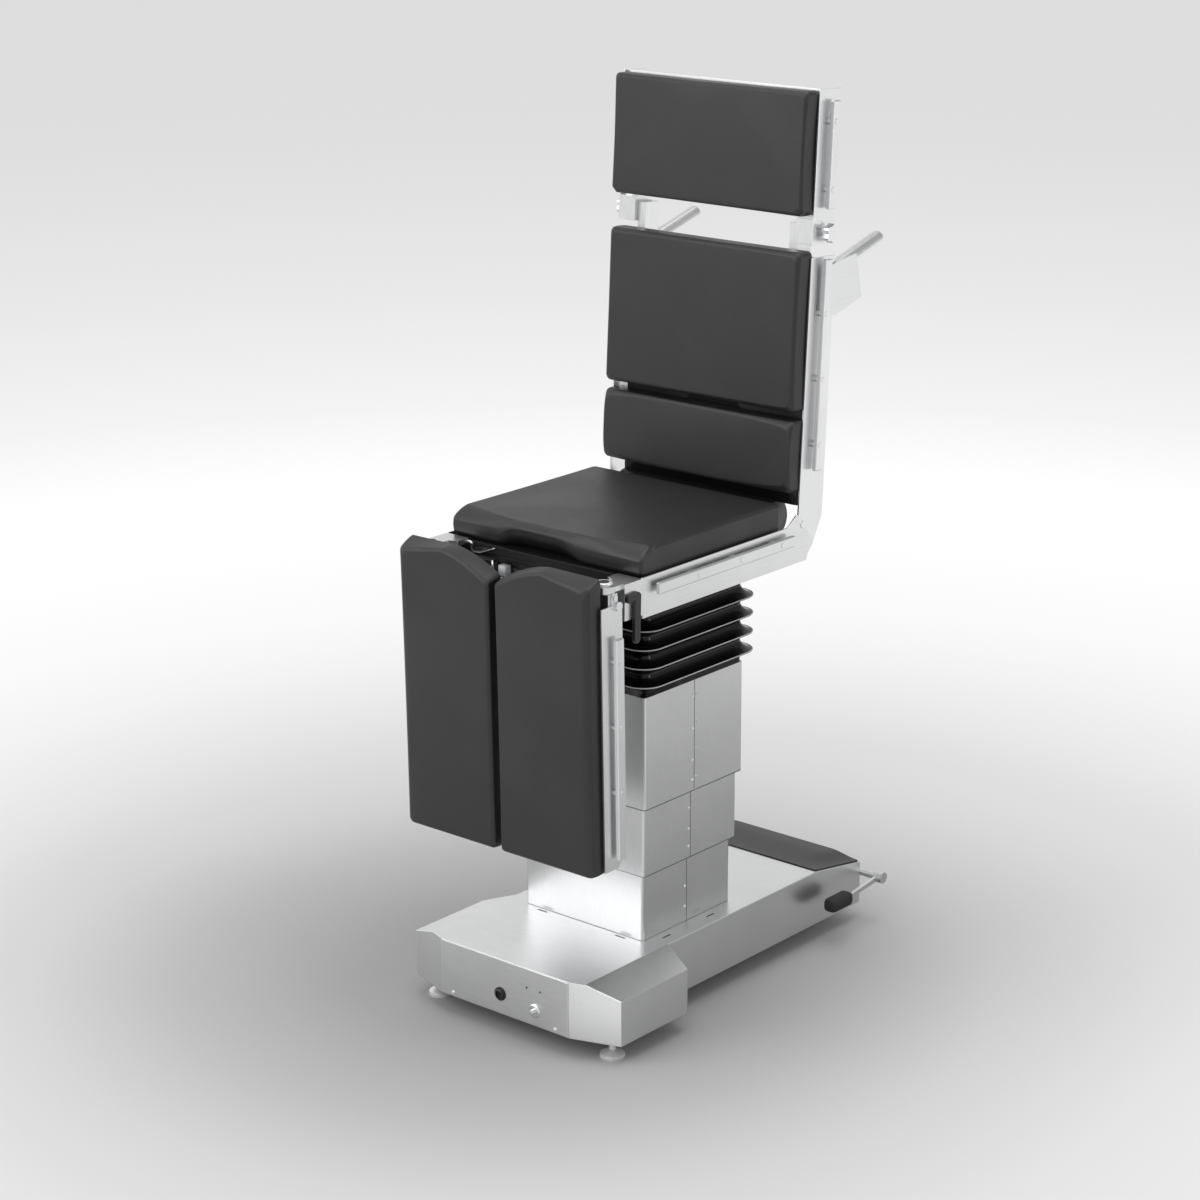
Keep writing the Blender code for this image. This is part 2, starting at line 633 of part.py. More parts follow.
# Seat: board with the two lugs of the long tilt shaft, side plates, rails, pad
board = block((-SEAT_PLATE_X + GAP, SEAT_PLATE_X - GAP), (SEAT_FRONT_Y, 0.198), (BOARD_LOW, BOARD_TOP))
lugs = [lug("X", s, CROSS_Z - 0.035, BOARD_LOW + 0.004) for s in (1, -1)]
bore = rod("X", (0, CROSS_Z), SHAFT_R + SHAFT_FIT, -0.2, 0.2)
piece("seat board", "frame", moved(fused([board] + lugs, [bore]), (0, 0, -CROSS_Z)),
      at=(0, 0, CROSS_Z))

seat_outline = [
    (SEAT_FRONT_Y, SEAT_LOW), (SEAT_FRONT_Y, SEAT_TOP), (SEAT_REAR_Y + 0.012, SEAT_TOP),
    (BACK_PIVOT_Y - 0.024, SEAT_TOP + 0.021), (BACK_PIVOT_Y - 0.016, SEAT_TOP + 0.021),
    (BACK_PIVOT_Y + 0.004, SEAT_TOP - 0.002), (BACK_PIVOT_Y + 0.040, SEAT_LOW + 0.038),
    (BACK_PIVOT_Y + 0.034, SEAT_LOW + 0.029), (BACK_PIVOT_Y + 0.020, SEAT_LOW + 0.016),
    (BACK_PIVOT_Y + 0.014, SEAT_LOW),
]
PIVOT_R = 0.008
RAIL_Z = SEAT_LOW + 0.060


def rail(axis, low, high, centre, stands):
    """A 25 by 10 mm rail with round stand-offs; the axis is the way it runs."""
    half = RAIL_H / 2
    x = (RAIL_IN, RAIL_IN + RAIL_T)
    if axis == "Y":
        bar = block(x, (low, high), (centre - half, centre + half))
    else:
        bar = block(x, (centre - half, centre + half), (low, high))
    parts = [softened(bar, 0.0015, 1)]
    for spot in stands:
        place = (spot, centre) if axis == "Y" else (centre, spot)
        parts.append(rod("X", place, 0.007, PLATE_OUT + GAP, RAIL_IN + 0.003, 12))
        parts.append(rod("X", place, 0.0065, RAIL_IN + RAIL_T - 0.002, RAIL_IN + RAIL_T + 0.001, 8))
    return parts


def pitched(first, count):
    return [first + k * RAIL_PITCH for k in range(count)]


for side, s in (("right", 1), ("left", -1)):
    plate = prism(seat_outline, "X", SEAT_PLATE_X, PLATE_OUT)
    hole = rod("X", (BACK_PIVOT.y, BACK_PIVOT.z), PIVOT_R + GAP, 0.2, 0.4, 20)
    bm = moved(fused([plate], [hole]), (0, 0, -CROSS_Z))
    piece("seat side plate " + side, "steel", bm, at=(0, 0, CROSS_Z), side=s)
    span = (SEAT_FRONT_Y + 0.035, SEAT_REAR_Y + 0.017)
    bm = moved(fused(rail("Y", *span, RAIL_Z, pitched(span[1] - 0.045 - 2 * RAIL_PITCH, 3))), (0, 0, -CROSS_Z))
    piece("seat rail " + side, "steel", bm, at=(0, 0, CROSS_Z), side=s)


def seat_front(x):
    """Front edge of the seat pad: two rounded lobes with a cut-out between them."""
    lobe = 0.041 * math.exp(-(((abs(x) - 0.125) / 0.060) ** 2))
    return SEAT_FRONT_Y + 0.006 - lobe


pad_x = [PAD_HALF * math.sin(math.radians(a)) for a in range(-90, 91, 9)]
front = [(x, seat_front(x)) for x in pad_x]
rear = [(PAD_HALF, SEAT_REAR_Y - 0.004), (-PAD_HALF, SEAT_REAR_Y - 0.004)]
seat_pad = prism(front + rear, "Z", BOARD_TOP + GAP, BOARD_TOP + SEAT_PAD_T)
level = [e for e in seat_pad.edges if abs(e.verts[0].co.z - e.verts[1].co.z) < 1e-6]
bmesh.ops.bevel(seat_pad, geom=level, offset=EDGE, segments=1, profile=0.5, affect="EDGES")
piece("seat pad", "pad", moved(seat_pad, (0, 0, -CROSS_Z)), at=(0, 0, CROSS_Z))

# Leg sockets at the two front corners, with a ring for the swivel pin and a lock lever
RING_LOW = LEG_Z + 0.008
TONGUE = (RING_LOW + 0.002, RING_LOW + 0.013)
LEVER_Y = -0.331
LEVER_Z = SEAT_LOW + 0.055
CHEEK_Y = LEG_AXIS_Y + 0.0315
INNER_EAR = (SEAT_PLATE_X - 0.0657, SEAT_PLATE_X - 0.0600)


def leg_socket():
    reach = SEAT_FRONT_Y - GAP
    tongue = [
        (SWIVEL_X - 0.019, LEG_AXIS_Y), (SWIVEL_X + 0.019, LEG_AXIS_Y), (SWIVEL_X + 0.019, -0.326),
        (PLATE_OUT, -0.316), (PLATE_OUT, reach), (SWIVEL_X - 0.040, reach),
        (SWIVEL_X - 0.040, -0.316), (SWIVEL_X - 0.019, -0.326),
    ]
    top = prism(tongue, "Z", *TONGUE)
    ring = rod("Z", (SWIVEL_X, LEG_AXIS_Y), RING_R, RING_LOW, RING_LOW + RING_H, 28)
    web = block((SWIVEL_X - 0.040, PLATE_OUT), (-0.318, -0.310), (SEAT_LOW + 0.008, TONGUE[1]))
    cheek = block((PLATE_OUT - 0.006, PLATE_OUT), (CHEEK_Y, reach), (SEAT_LOW + 0.008, TONGUE[1]))
    hole = rod("Z", (SWIVEL_X, LEG_AXIS_Y), RING_HOLE, RING_LOW - 0.01, RING_LOW + RING_H + 0.01, 28)
    return fused([top, ring, web, cheek], [hole])


def lock_lever():
    hub = rod("X", (0, 0), 0.0095, 0, 0.009, 20)
    handle = prism([(0.000, 0.008), (0.028, 0.010), (0.034, 0.004), (0.031, -0.094), (0.026, -0.100),
                    (0.017, -0.100), (0.013, -0.094), (0.015, -0.006), (0.000, -0.006)],
                   "X", 0.0005, 0.0085)
    return fused([hub, handle])


def knuckle():
    """Swivel pin, block under the ring and the stub pins of the leg tilt."""
    x = SWIVEL_X
    low, top = LEG_Z - 0.041, RING_LOW - GAP
    body = block((INNER_EAR[1] + GAP, SEAT_PLATE_X - GAP), (-0.016, 0.013), (low, top))
    pin = rod("Z", (x, 0), RING_HOLE - GAP, top - 0.002, RING_LOW + RING_H - 0.004, 28)
    stub = rod("X", (0, LEG_Z), PIN_R, SEAT_PLATE_X - 0.002, PLATE_OUT + 0.003, 16)
    inner = rod("X", (0, LEG_Z), PIN_R, INNER_EAR[0], INNER_EAR[1] + 0.002, 16)
    return moved(fused([body, pin, stub, inner]), (-x, 0, -LEG_Z))


def leg_frame():
    """Side plate, board behind the pad, inner ear, and the rail; y and z from the tilt axis."""
    front, rear = LEG_PLATE
    low = -LEG_LEN
    eye = [(-EYE_R * math.cos(k * math.pi / 8), EYE_R * math.sin(k * math.pi / 8)) for k in range(9)]
    outline = [(front, low + 0.006), (front, SHOULDER), (-EYE_R, SHOULDER), *eye, (EYE_R, SHOULDER),
               (rear, SHOULDER), (rear, low + 0.050), (rear - 0.020, low + 0.006)]
    plate = prism(outline, "X", SEAT_PLATE_X, PLATE_OUT)
    back = (LEG_PAD_BACK + GAP, LEG_PAD_BACK + 0.0125)
    shape = [(LEG_PAD_SPLIT + 0.006, low + 0.012), (SEAT_PLATE_X + 0.001, low + 0.012),
             (SEAT_PLATE_X + 0.001, -0.055), (INNER_EAR[1] + 0.002, -0.047),
             (INNER_EAR[1] + 0.0, -0.006), (LEG_PAD_SPLIT + 0.006, -0.006)]
    board = prism(shape, "Y", *back)
    ear = prism([(back[0] + 0.002, -0.060), (back[0] + 0.002, -0.008), (-0.008, 0.009), (0.009, 0.009),
                 (0.012, -0.004), (back[1] + 0.004, -0.060)], "X", *INNER_EAR)
    span = (low + 0.030, -0.085)
    bar = rail("Z", *span, -0.004, pitched(span[1] - 0.051 - 2 * RAIL_PITCH, 3))
    bar = [moved(b, (-GAP * 2, 0, 0)) for b in bar]
    knob = rod("X", (0.007, -0.019), 0.010, PLATE_OUT - 0.001, PLATE_OUT + 0.007, 16)
    holes = [rod("X", (0, 0), PIN_R + GAP, 0.1, 0.4, 16)]
    return fused([plate, board, ear, knob] + bar, holes)


def leg_pad_top(x):
    """Top edge of a leg pad: level outside its middle, falling in a curve inside it."""
    mid = (LEG_PAD_SPLIT + PAD_HALF) / 2
    return LEG_PAD_TOP - LEG_PAD_FALL * max(0, (mid - x) / (mid - LEG_PAD_SPLIT)) ** 1.7


def leg_pad():
    count = 8
    xs = [LEG_PAD_SPLIT + (PAD_HALF - LEG_PAD_SPLIT) * k / count for k in range(count + 1)]
    shape = [(x, leg_pad_top(x)) for x in xs]
    shape += [(PAD_HALF, -LEG_LEN), (LEG_PAD_SPLIT, -LEG_LEN)]
    bm = prism(shape, "Y", LEG_PAD_BACK - LEG_PAD_T, LEG_PAD_BACK)
    for v in bm.verts:
        if v.co.z > -LEG_LEN and v.co.y < LEG_PAD_BACK - LEG_PAD_T / 2:
            outer = max(0, (v.co.x - xs[count // 2]) / (PAD_HALF - xs[count // 2]))
            v.co.z -= LEG_PAD_FACET * outer
    rims = [e for e in bm.edges if abs(e.verts[0].co.y - e.verts[1].co.y) < 1e-6]
    bmesh.ops.bevel(bm, geom=rims, offset=EDGE, segments=1, profile=0.5, affect="EDGES")
    return bm


for side, s in (("right", 1), ("left", -1)):
    piece("leg socket " + side, "steel", moved(leg_socket(), (0, 0, -CROSS_Z)),
          at=(0, 0, CROSS_Z), side=s)
    piece("lock lever " + side, "black", lock_lever(),
          at=(s * (PLATE_OUT + GAP), LEVER_Y, LEVER_Z), side=s)
    piece("leg knuckle " + side, "steel", knuckle(), at=(s * SWIVEL_X, LEG_AXIS_Y, LEG_Z), side=s)
    hinge = (0, LEG_AXIS_Y, LEG_Z)
    piece("leg frame " + side, "steel", leg_frame(), at=hinge, turn=LEG_TUCK, side=s)
    piece("leg pad " + side, "pad", leg_pad(), at=hinge, turn=LEG_TUCK, side=s)


# Back section
def tray(low, high, rear):
    """Board with a side plate folded back at each edge, as one outline in plan."""
    x_in, x_out = BACK_PLATE_X, BACK_PLATE_X + PLATE_T
    near, far = PAD_BACK + GAP, PAD_BACK + BACK_BOARD_T
    half = [(x_in, near), (x_in, PLATE_FRONT), (x_out, PLATE_FRONT), (x_out, rear), (x_in, rear),
            (x_in, far)]
    return prism(half + [(-x, y) for x, y in reversed(half)], "Z", low, high)


def back_frame():
    parts = [tray(BACK_LOW, BACK_TOP, PLATE_REAR)]
    lug_y = (PAD_BACK + GAP, HEAD_AXIS[0] + 0.018)
    lug_x = BACK_PLATE_X + PLATE_T - HEAD_BLOCK_W - GAP
    for s in (1, -1):
        lug_z = (BACK_TOP - 0.004, HEAD_AXIS[1] + 0.018)
        parts.append(block(sorted((s * (lug_x - HEAD_LUG_W), s * lug_x)), lug_y, lug_z))
        ear = [(PLATE_FRONT, BACK_LOW + 0.02), (PLATE_FRONT, -0.004), (0.018, -0.050),
               (0.046, -0.050), (PLATE_REAR, 0.012), (PLATE_REAR, BACK_LOW + 0.02)]
        ends = sorted((s * BACK_PLATE_X, s * (BACK_PLATE_X + PLATE_T)))
        parts.append(prism(ear, "X", *ends))
        ends = sorted((s * (BACK_PLATE_X + 0.001), s * (PLATE_OUT + 0.001)))
        parts.append(rod("X", (0, 0), PIVOT_R, *ends, 20))
        ends = sorted((s * (lug_x - 0.01), s * (lug_x + 0.036)))
        parts.append(rod("X", HEAD_AXIS, 0.008, *ends, 20))
    return fused(parts)


def head_frame():
    parts = [tray(HEAD_LOW, HEAD_TOP, PLATE_REAR - 0.010)]
    span = (HEAD_LOW + 0.030, HEAD_TOP - 0.024)
    outer = BACK_PLATE_X + PLATE_T
    holes = []
    for s in (1, -1):
        ends = sorted((s * (outer - HEAD_BLOCK_W), s * outer))
        parts.append(block(ends, (PLATE_FRONT, HEAD_AXIS[0] + 0.020), (HEAD_AXIS[1] - 0.025, HEAD_LOW + 0.008)))
        ends = sorted((s * (outer - HEAD_BLOCK_W - 0.01), s * (outer - HEAD_BLOCK_W + 0.037)))
        holes.append(rod("X", HEAD_AXIS, 0.008 + GAP, *ends, 20))
        for b in rail("Z", *span, 0.0305, pitched(span[0] + 0.042, 2)):
            parts.append(mirrored(moved(b, (outer - PLATE_OUT - 2 * GAP, 0, 0)), s))
    holes.append(block((HEAD_BLOCK_W - outer, outer - HEAD_BLOCK_W), (PLATE_FRONT - 0.01, 0.05),
                       (HEAD_LOW - 0.01, HEAD_PAD[0] + 0.010)))
    parts = [moved(p, (0, -HEAD_AXIS[0], -HEAD_AXIS[1])) for p in parts]
    holes = [moved(h, (0, -HEAD_AXIS[0], -HEAD_AXIS[1])) for h in holes]
    return fused(parts, holes)


def back_pad(low, high, chamfer=0.0, offset=(0, 0)):
    x = PAD_HALF
    shape = [(-x, low + chamfer), (-x + chamfer, low), (x - chamfer, low), (x, low + chamfer),
             (x, high), (-x, high)]
    if not chamfer:
        shape = [(-x, low), (x, low), (x, high), (-x, high)]
    bm = prism(shape, "Y", PAD_BACK - PAD_T, PAD_BACK)
    rims = [e for e in bm.edges if e.calc_face_angle(0) > math.radians(50)]
    bmesh.ops.bevel(bm, geom=rims, offset=EDGE, segments=1, profile=0.5, affect="EDGES")
    return moved(bm, (0, -offset[0], -offset[1]))


piece("back frame", "steel", back_frame(), at=BACK_PIVOT, turn=-RECLINE)
piece("back pad lower", "pad", back_pad(*LOWER_PAD), at=BACK_PIVOT, turn=-RECLINE)
piece("back pad upper", "pad", back_pad(*UPPER_PAD), at=BACK_PIVOT, turn=-RECLINE)


def push_handle():
    """Gusset on the outside of the back's side plate with a round-ended tube."""
    gusset = [(0.040, 0.565), (0.074, 0.574), (0.148, 0.588), (0.176, 0.490), (0.080, 0.458),
              (0.040, 0.466)]
    inner = BACK_PLATE_X + PLATE_T + GAP
    plate = prism(gusset, "X", inner, inner + PLATE_T)
    length = HANDLE_L
    round_end = [(0, 0), (HANDLE_R, 0), (HANDLE_R, length - 0.010), (HANDLE_R * 0.86, length - 0.004),
                 (HANDLE_R * 0.5, length), (0, length + 0.001)]
    tube = turned(lathe(round_end, 20), -math.pi / 2 + HANDLE_RISE, "X")
    tube = moved(tube, (inner + PLATE_T - HANDLE_R - 0.001, 0.095, 0.560))
    return fused([plate, tube])


outer = BACK_PLATE_X + PLATE_T
for side, s in (("right", 1), ("left", -1)):
    span = (0.119, BACK_TOP - 0.004)
    bar = [moved(b, (outer - PLATE_OUT, 0, 0)) for b in rail("Z", *span, 0.0305, pitched(span[0] + 0.058, 3))]
    piece("back rail " + side, "steel", fused(bar), at=BACK_PIVOT, turn=-RECLINE, side=s)
    piece("push handle " + side, "steel", push_handle(), at=BACK_PIVOT, turn=-RECLINE, side=s)

# Head section
up = Matrix.Rotation(-RECLINE, 3, "X") @ Vector((0, *HEAD_AXIS))
HEAD_PIVOT = BACK_PIVOT + up
piece("head frame", "steel", head_frame(), at=HEAD_PIVOT, turn=-RECLINE)
piece("head pad", "pad", back_pad(*HEAD_PAD, chamfer=0.012, offset=HEAD_AXIS),
      at=HEAD_PIVOT, turn=-RECLINE)


def clamp_knob():
    neck = rod("X", (0, 0), 0.008, 0, 0.010, 16)
    lobes = [(0.019 + 0.003 * math.cos(5 * a), a) for a in [k * math.tau / 30 for k in range(30)]]
    grip = prism([(r * math.cos(a), r * math.sin(a)) for r, a in lobes], "X", 0.008, 0.024)
    return fused([neck, grip])


for side, s in (("right", 1), ("left", -1)):
    at = HEAD_PIVOT + Vector((s * (outer + GAP), 0, 0))
    piece("head knob " + side, "bright", clamp_knob(), at=at, turn=-RECLINE, side=s)

# The origin goes to the middle of the bounding box, at the floor
corners = [item.matrix_basis @ v.co for item in PIECES for v in item.data.vertices]
low = Vector([min(c[k] for c in corners) for k in range(3)])
high = Vector([max(c[k] for c in corners) for k in range(3)])
centre = Vector(((low.x + high.x) / 2, (low.y + high.y) / 2, low.z))
for item in PIECES:
    item.location -= centre
    item.name = item.name.replace(" ", "_")
print("pieces", len(PIECES), "size", tuple(round(v, 4) for v in high - low), "shift", tuple(centre))
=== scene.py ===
# %% [markdown]
# An operating table: a steel base on hidden casters, a telescopic column, black bellows round
# the tilt joints, and a top in sections with moulded pads. The solids of the table are loaded
# as a fixed frame. This lesson gives them their finishes, and makes the parts that solids
# can't show well: the pads, the bellows, the moulded rear cover, seams, screws and small trim.
# It ends with the studio: floor, soft light and camera.

# %% Load the frame
import math
import bpy
import numpy as np
from mathutils import Matrix, Vector


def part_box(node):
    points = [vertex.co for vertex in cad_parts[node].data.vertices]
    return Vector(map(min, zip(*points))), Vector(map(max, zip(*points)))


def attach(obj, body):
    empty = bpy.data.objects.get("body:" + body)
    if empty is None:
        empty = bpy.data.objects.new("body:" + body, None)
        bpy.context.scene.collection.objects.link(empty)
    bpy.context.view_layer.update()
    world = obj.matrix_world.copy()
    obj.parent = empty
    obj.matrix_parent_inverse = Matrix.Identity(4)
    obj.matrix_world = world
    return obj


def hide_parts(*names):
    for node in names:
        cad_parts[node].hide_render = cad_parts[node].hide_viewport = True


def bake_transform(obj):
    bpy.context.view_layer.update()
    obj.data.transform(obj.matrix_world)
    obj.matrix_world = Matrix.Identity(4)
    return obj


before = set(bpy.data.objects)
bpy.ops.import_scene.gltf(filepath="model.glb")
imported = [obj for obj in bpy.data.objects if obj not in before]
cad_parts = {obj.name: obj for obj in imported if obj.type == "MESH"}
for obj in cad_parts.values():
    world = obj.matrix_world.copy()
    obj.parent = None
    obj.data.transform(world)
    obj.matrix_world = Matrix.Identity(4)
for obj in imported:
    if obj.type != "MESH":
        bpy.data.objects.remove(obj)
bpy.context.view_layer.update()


# %% [markdown]
# Shader maths reads best as plain expressions, so a small class wraps an output socket and
# gives it the arithmetic signs. Each sign adds one Math node. Every other node comes from one
# method that takes the node's type, its settings and what goes into its sockets.

# %% A socket with arithmetic, and a finish that is being built
class Value:
    """An output socket that can stand in an expression."""

    def __init__(self, finish, socket):
        self.finish = finish
        self.socket = socket

    def math(self, operation, *values):
        inputs = dict(enumerate(values))
        return self.finish.node("ShaderNodeMath", {"operation": operation}, inputs)

    def __add__(self, other):
        return self.math("ADD", self, other)

    def __radd__(self, other):
        return self.math("ADD", other, self)

    def __rsub__(self, other):
        return self.math("SUBTRACT", other, self)

    def __mul__(self, other):
        return self.math("MULTIPLY", self, other)

    def __truediv__(self, other):
        return self.math("DIVIDE", self, other)

    def within(self, low, high):
        """0 below low, 1 above high, and a smooth rise between."""
        settings = {"interpolation_type": "SMOOTHSTEP"}
        inputs = {"Value": self, "From Min": low, "From Max": high}
        return self.finish.node("ShaderNodeMapRange", settings, inputs)


class Finish:
    """A material, or the world, as a list of nodes that is being written."""

    def __init__(self, name, world=False):
        library = bpy.data.worlds if world else bpy.data.materials
        self.block = library.new(name)
        self.block.use_nodes = True
        self.tree = self.block.node_tree
        self.tree.nodes.clear()
        self.end = "ShaderNodeOutputWorld" if world else "ShaderNodeOutputMaterial"

    def node(self, kind, settings=None, inputs=None, out=0):
        made = self.tree.nodes.new(kind)
        for key, value in (settings or {}).items():
            if key == "stops":
                stops = made.color_ramp.elements
                while len(stops) < len(value):
                    stops.new(0.5)
                for stop, (place, shade) in zip(stops, value):
                    stop.position = place
                    stop.color = (shade, shade, shade, 1.0)
            else:
                setattr(made, key, value)
        for key, value in (inputs or {}).items():
            if isinstance(value, Value):
                self.tree.links.new(value.socket, made.inputs[key])
            else:
                made.inputs[key].default_value = value
        return Value(self, made.outputs[out])

    def place(self, scale=(1.0, 1.0, 1.0)):
        """Object coordinates, stretched."""
        here = self.node("ShaderNodeTexCoord", out=3)
        return self.node("ShaderNodeMapping", {}, {"Vector": here, "Scale": scale})

    def noise(self, scale, detail=3.0, stretch=(1.0, 1.0, 1.0)):
        inputs = {"Vector": self.place(stretch), "Scale": scale, "Detail": detail}
        return self.node("ShaderNodeTexNoise", {}, inputs)

    def mix(self, factor, low, high):
        """Colour between low and high."""
        inputs = {0: factor, 6: low, 7: high}
        return self.node("ShaderNodeMix", {"data_type": "RGBA"}, inputs, out=2)

    def bump(self, height, strength, distance):
        inputs = {"Height": height, "Strength": strength, "Distance": distance}
        return self.node("ShaderNodeBump", {}, inputs)

    def surface(self, **inputs):
        """Principled shader into the output; keywords are its sockets with _ for a space."""
        named = {key.replace("_", " "): value for key, value in inputs.items()}
        shader = self.node("ShaderNodeBsdfPrincipled", {}, named)
        return self.close(shader)

    def close(self, shader):
        made = self.tree.nodes.new(self.end)
        self.tree.links.new(shader.socket, made.inputs["Surface"])
        return self.block


def grey(level, warmth=0.0):
    """Linear colour of one grey, slightly warm or cool."""
    return (level * (1 + warmth), level, level * (1 - warmth), 1.0)


print("Value and Finish are ready")


# %% [markdown]
# The metal is brushed stainless sheet. A brush leaves fine scratches in one direction, which
# blur a reflection across them. Noise that is stretched along the brush gives those lines, and
# drives roughness, a faint bump and a slight change of tone. A second, large noise adds the
# cloudy look that handled steel has. Each group of sheets has its own brush direction. Its base
# tone is painted light and shade: the groups are lighter and darker copies of one steel, each
# set for how brightly that group is lit.

# %% Brushed steel, once for each brush direction
def brushed_steel(name, stretch, tone, rough=0.24):
    """Streaks run along the axis whose stretch is small."""
    steel = Finish(name)
    streak = steel.noise(9.0, 4.0, stretch)
    cloud = steel.noise(5.0, 2.0)
    fine = steel.noise(23.0, 2.0, stretch)
    shade = streak * 0.6 + cloud * 0.4
    dull, bright = grey(tone * 0.94, -0.008), grey(tone * 1.05, -0.004)
    colour = steel.mix(shade.within(0.3, 0.7), dull, bright)
    return steel.surface(
        Base_Color=colour,
        Metallic=1.0,
        Roughness=rough + streak * 0.08 + cloud * 0.04,
        Normal=steel.bump(fine, 0.10, 0.0002),
    )


# The four base tones are painted light and shade: lighter and darker copies of one steel, each set
# for how brightly its sheets are lit.
STEEL_UP = brushed_steel("brushed steel upright", (60.0, 60.0, 1.0), 0.79)
STEEL_ALONG = brushed_steel("brushed steel lengthwise", (60.0, 1.0, 60.0), 0.75)
STEEL_COLUMN = brushed_steel("brushed steel of the column", (90.0, 90.0, 4.0), 0.69)
STEEL_BASE = brushed_steel("brushed steel of the base", (3.0, 70.0, 70.0), 0.83, 0.25)
print("steel", [steel.name for steel in (STEEL_UP, STEEL_ALONG, STEEL_COLUMN, STEEL_BASE)])

# %% [markdown]
# The other metals: polished steel for forks, pins and knobs, a pale satin steel for feet and
# screws, and a pale powder coat on the frames that stay inside. A powder coat is a hard skin
# with the dimples of an orange peel, so its bump is small and even.

# %% Polished steel, satin steel and powder coat
def polished_steel():
    steel = Finish("polished steel")
    cloud = steel.noise(40.0, 3.0)
    return steel.surface(
        Base_Color=steel.mix(cloud, grey(0.74, -0.01), grey(0.84)),
        Metallic=1.0,
        Roughness=0.22 + cloud * 0.10,
        Normal=steel.bump(cloud, 0.05, 0.0003),
    )


def powder_coat():
    coat = Finish("pale powder coat")
    peel = coat.noise(420.0, 2.0)
    cloud = coat.noise(6.0, 2.0)
    return coat.surface(
        Base_Color=coat.mix(cloud, grey(0.46), grey(0.54)),
        Roughness=0.42 + peel * 0.12,
        Normal=coat.bump(peel, 0.15, 0.0004),
    )


def satin_steel():
    steel = Finish("pale satin screws")
    cloud = steel.noise(60.0, 2.0)
    return steel.surface(
        Base_Color=steel.mix(cloud, grey(0.80), grey(0.90)),
        Metallic=0.55,
        Roughness=0.38 + cloud * 0.10,
    )


POLISHED = polished_steel()
SCREW_STEEL = satin_steel()
COATED = powder_coat()
print("other metals", POLISHED.name, SCREW_STEEL.name, COATED.name)

# %% [markdown]
# The pads are moulded foam with a skin of charcoal polyurethane. The skin has a fine leather
# grain: small cells with soft ridges between them. A Voronoi texture gives the cells, a noise
# breaks their size, and a large noise changes tone and gloss a little, as hands and cleaning
# do. The skin is worn slightly shinier where the cloudy noise is high.

# %% Skin of the pads
def pad_skin():
    skin = Finish("charcoal pad skin")
    warp = skin.noise(60.0, 2.0)
    cells = skin.node(
        "ShaderNodeTexVoronoi",
        {"feature": "DISTANCE_TO_EDGE"},
        {"Vector": skin.place(), "Scale": 620.0},
    )
    grain = cells.within(0.0, 0.22) * 0.7 + warp * 0.5
    cloud = skin.noise(4.5, 3.0)
    wear = cloud.within(0.42, 0.62)
    colour = skin.mix(wear, grey(0.0125, 0.01), grey(0.0145, 0.01))
    return skin.surface(
        Base_Color=colour,
        Roughness=0.43 - wear * 0.03 + warp * 0.06,
        Specular_IOR_Level=0.50,
        Coat_Roughness=0.40,
        Coat_Weight=0.08 + wear * 0.03,
        Normal=skin.bump(grain, 0.22, 0.0005),
    )


PAD_SKIN = pad_skin()
print("pads", PAD_SKIN.name)

# %% [markdown]
# The bellows are glossy black coated cloth. The weave hardly shows through the coating, so it
# is a faint bump, while a coat layer gives the wet looking lights along each fold. The rubber
# and plastic parts share one recipe with other numbers, and so do the pale strips on the folds,
# which are painted highlights along the lips.

# %% Coated cloth, rubber and plastic
def coated_cloth():
    cloth = Finish("glossy black bellows cloth")
    weave = cloth.noise(900.0, 1.0)
    crease = cloth.noise(14.0, 3.0, (1.0, 1.0, 3.0))
    return cloth.surface(
        Base_Color=cloth.mix(crease, grey(0.0015), grey(0.003)),
        Roughness=0.16 + crease * 0.08,
        Specular_IOR_Level=0.30,
        Coat_Weight=0.10 + crease * 0.05,
        Coat_Roughness=0.10,
        Normal=cloth.bump(crease * 0.8 + weave * 0.2, 0.12, 0.0010),
    )


def moulded(name, level, rough, grain, depth):
    """Plain moulded rubber or plastic: a fine even grain and a little change of tone."""
    plastic = Finish(name)
    dots = plastic.noise(grain, 2.0)
    cloud = plastic.noise(8.0, 2.0)
    return plastic.surface(
        Base_Color=plastic.mix(cloud, grey(level * 0.85, -0.02), grey(level * 1.15, -0.02)),
        Roughness=rough + dots * 0.12,
        Normal=plastic.bump(dots, 0.3, depth),
    )


BELLOWS_CLOTH = coated_cloth()
REAR_PLASTIC = moulded("dark textured rear cover", 0.022, 0.38, 700.0, 0.0004)
BLACK_PLASTIC = moulded("black lever plastic", 0.012, 0.30, 500.0, 0.0002)
RUBBER = moulded("black pedal rubber", 0.018, 0.62, 300.0, 0.0006)
TYRE = moulded("grey caster tread", 0.16, 0.50, 260.0, 0.0004)
CREAM_PLASTIC = moulded("cream stop block", 0.62, 0.40, 400.0, 0.0002)
# Painted highlight: a pale strip that stands for the light along each fold's lip.
LIP_HIGHLIGHT_PAINT = moulded("painted highlight on a fold lip", 0.60, 0.20, 400.0, 0.0001)
DARK_GAP = moulded("dark joint line", 0.020, 0.60, 300.0, 0.0002)
print("soft and plastic finishes", 8)

# %% [markdown]
# Each solid of the frame keeps its shape and gets its finish by the slot that it was built
# with. Long parts take the steel whose brush runs along them. A thin live bevel catches the
# light on every folded edge. A solid is stored as loose triangles, so a Weld comes first, and
# a Weighted Normal comes last to keep the flat faces flat.

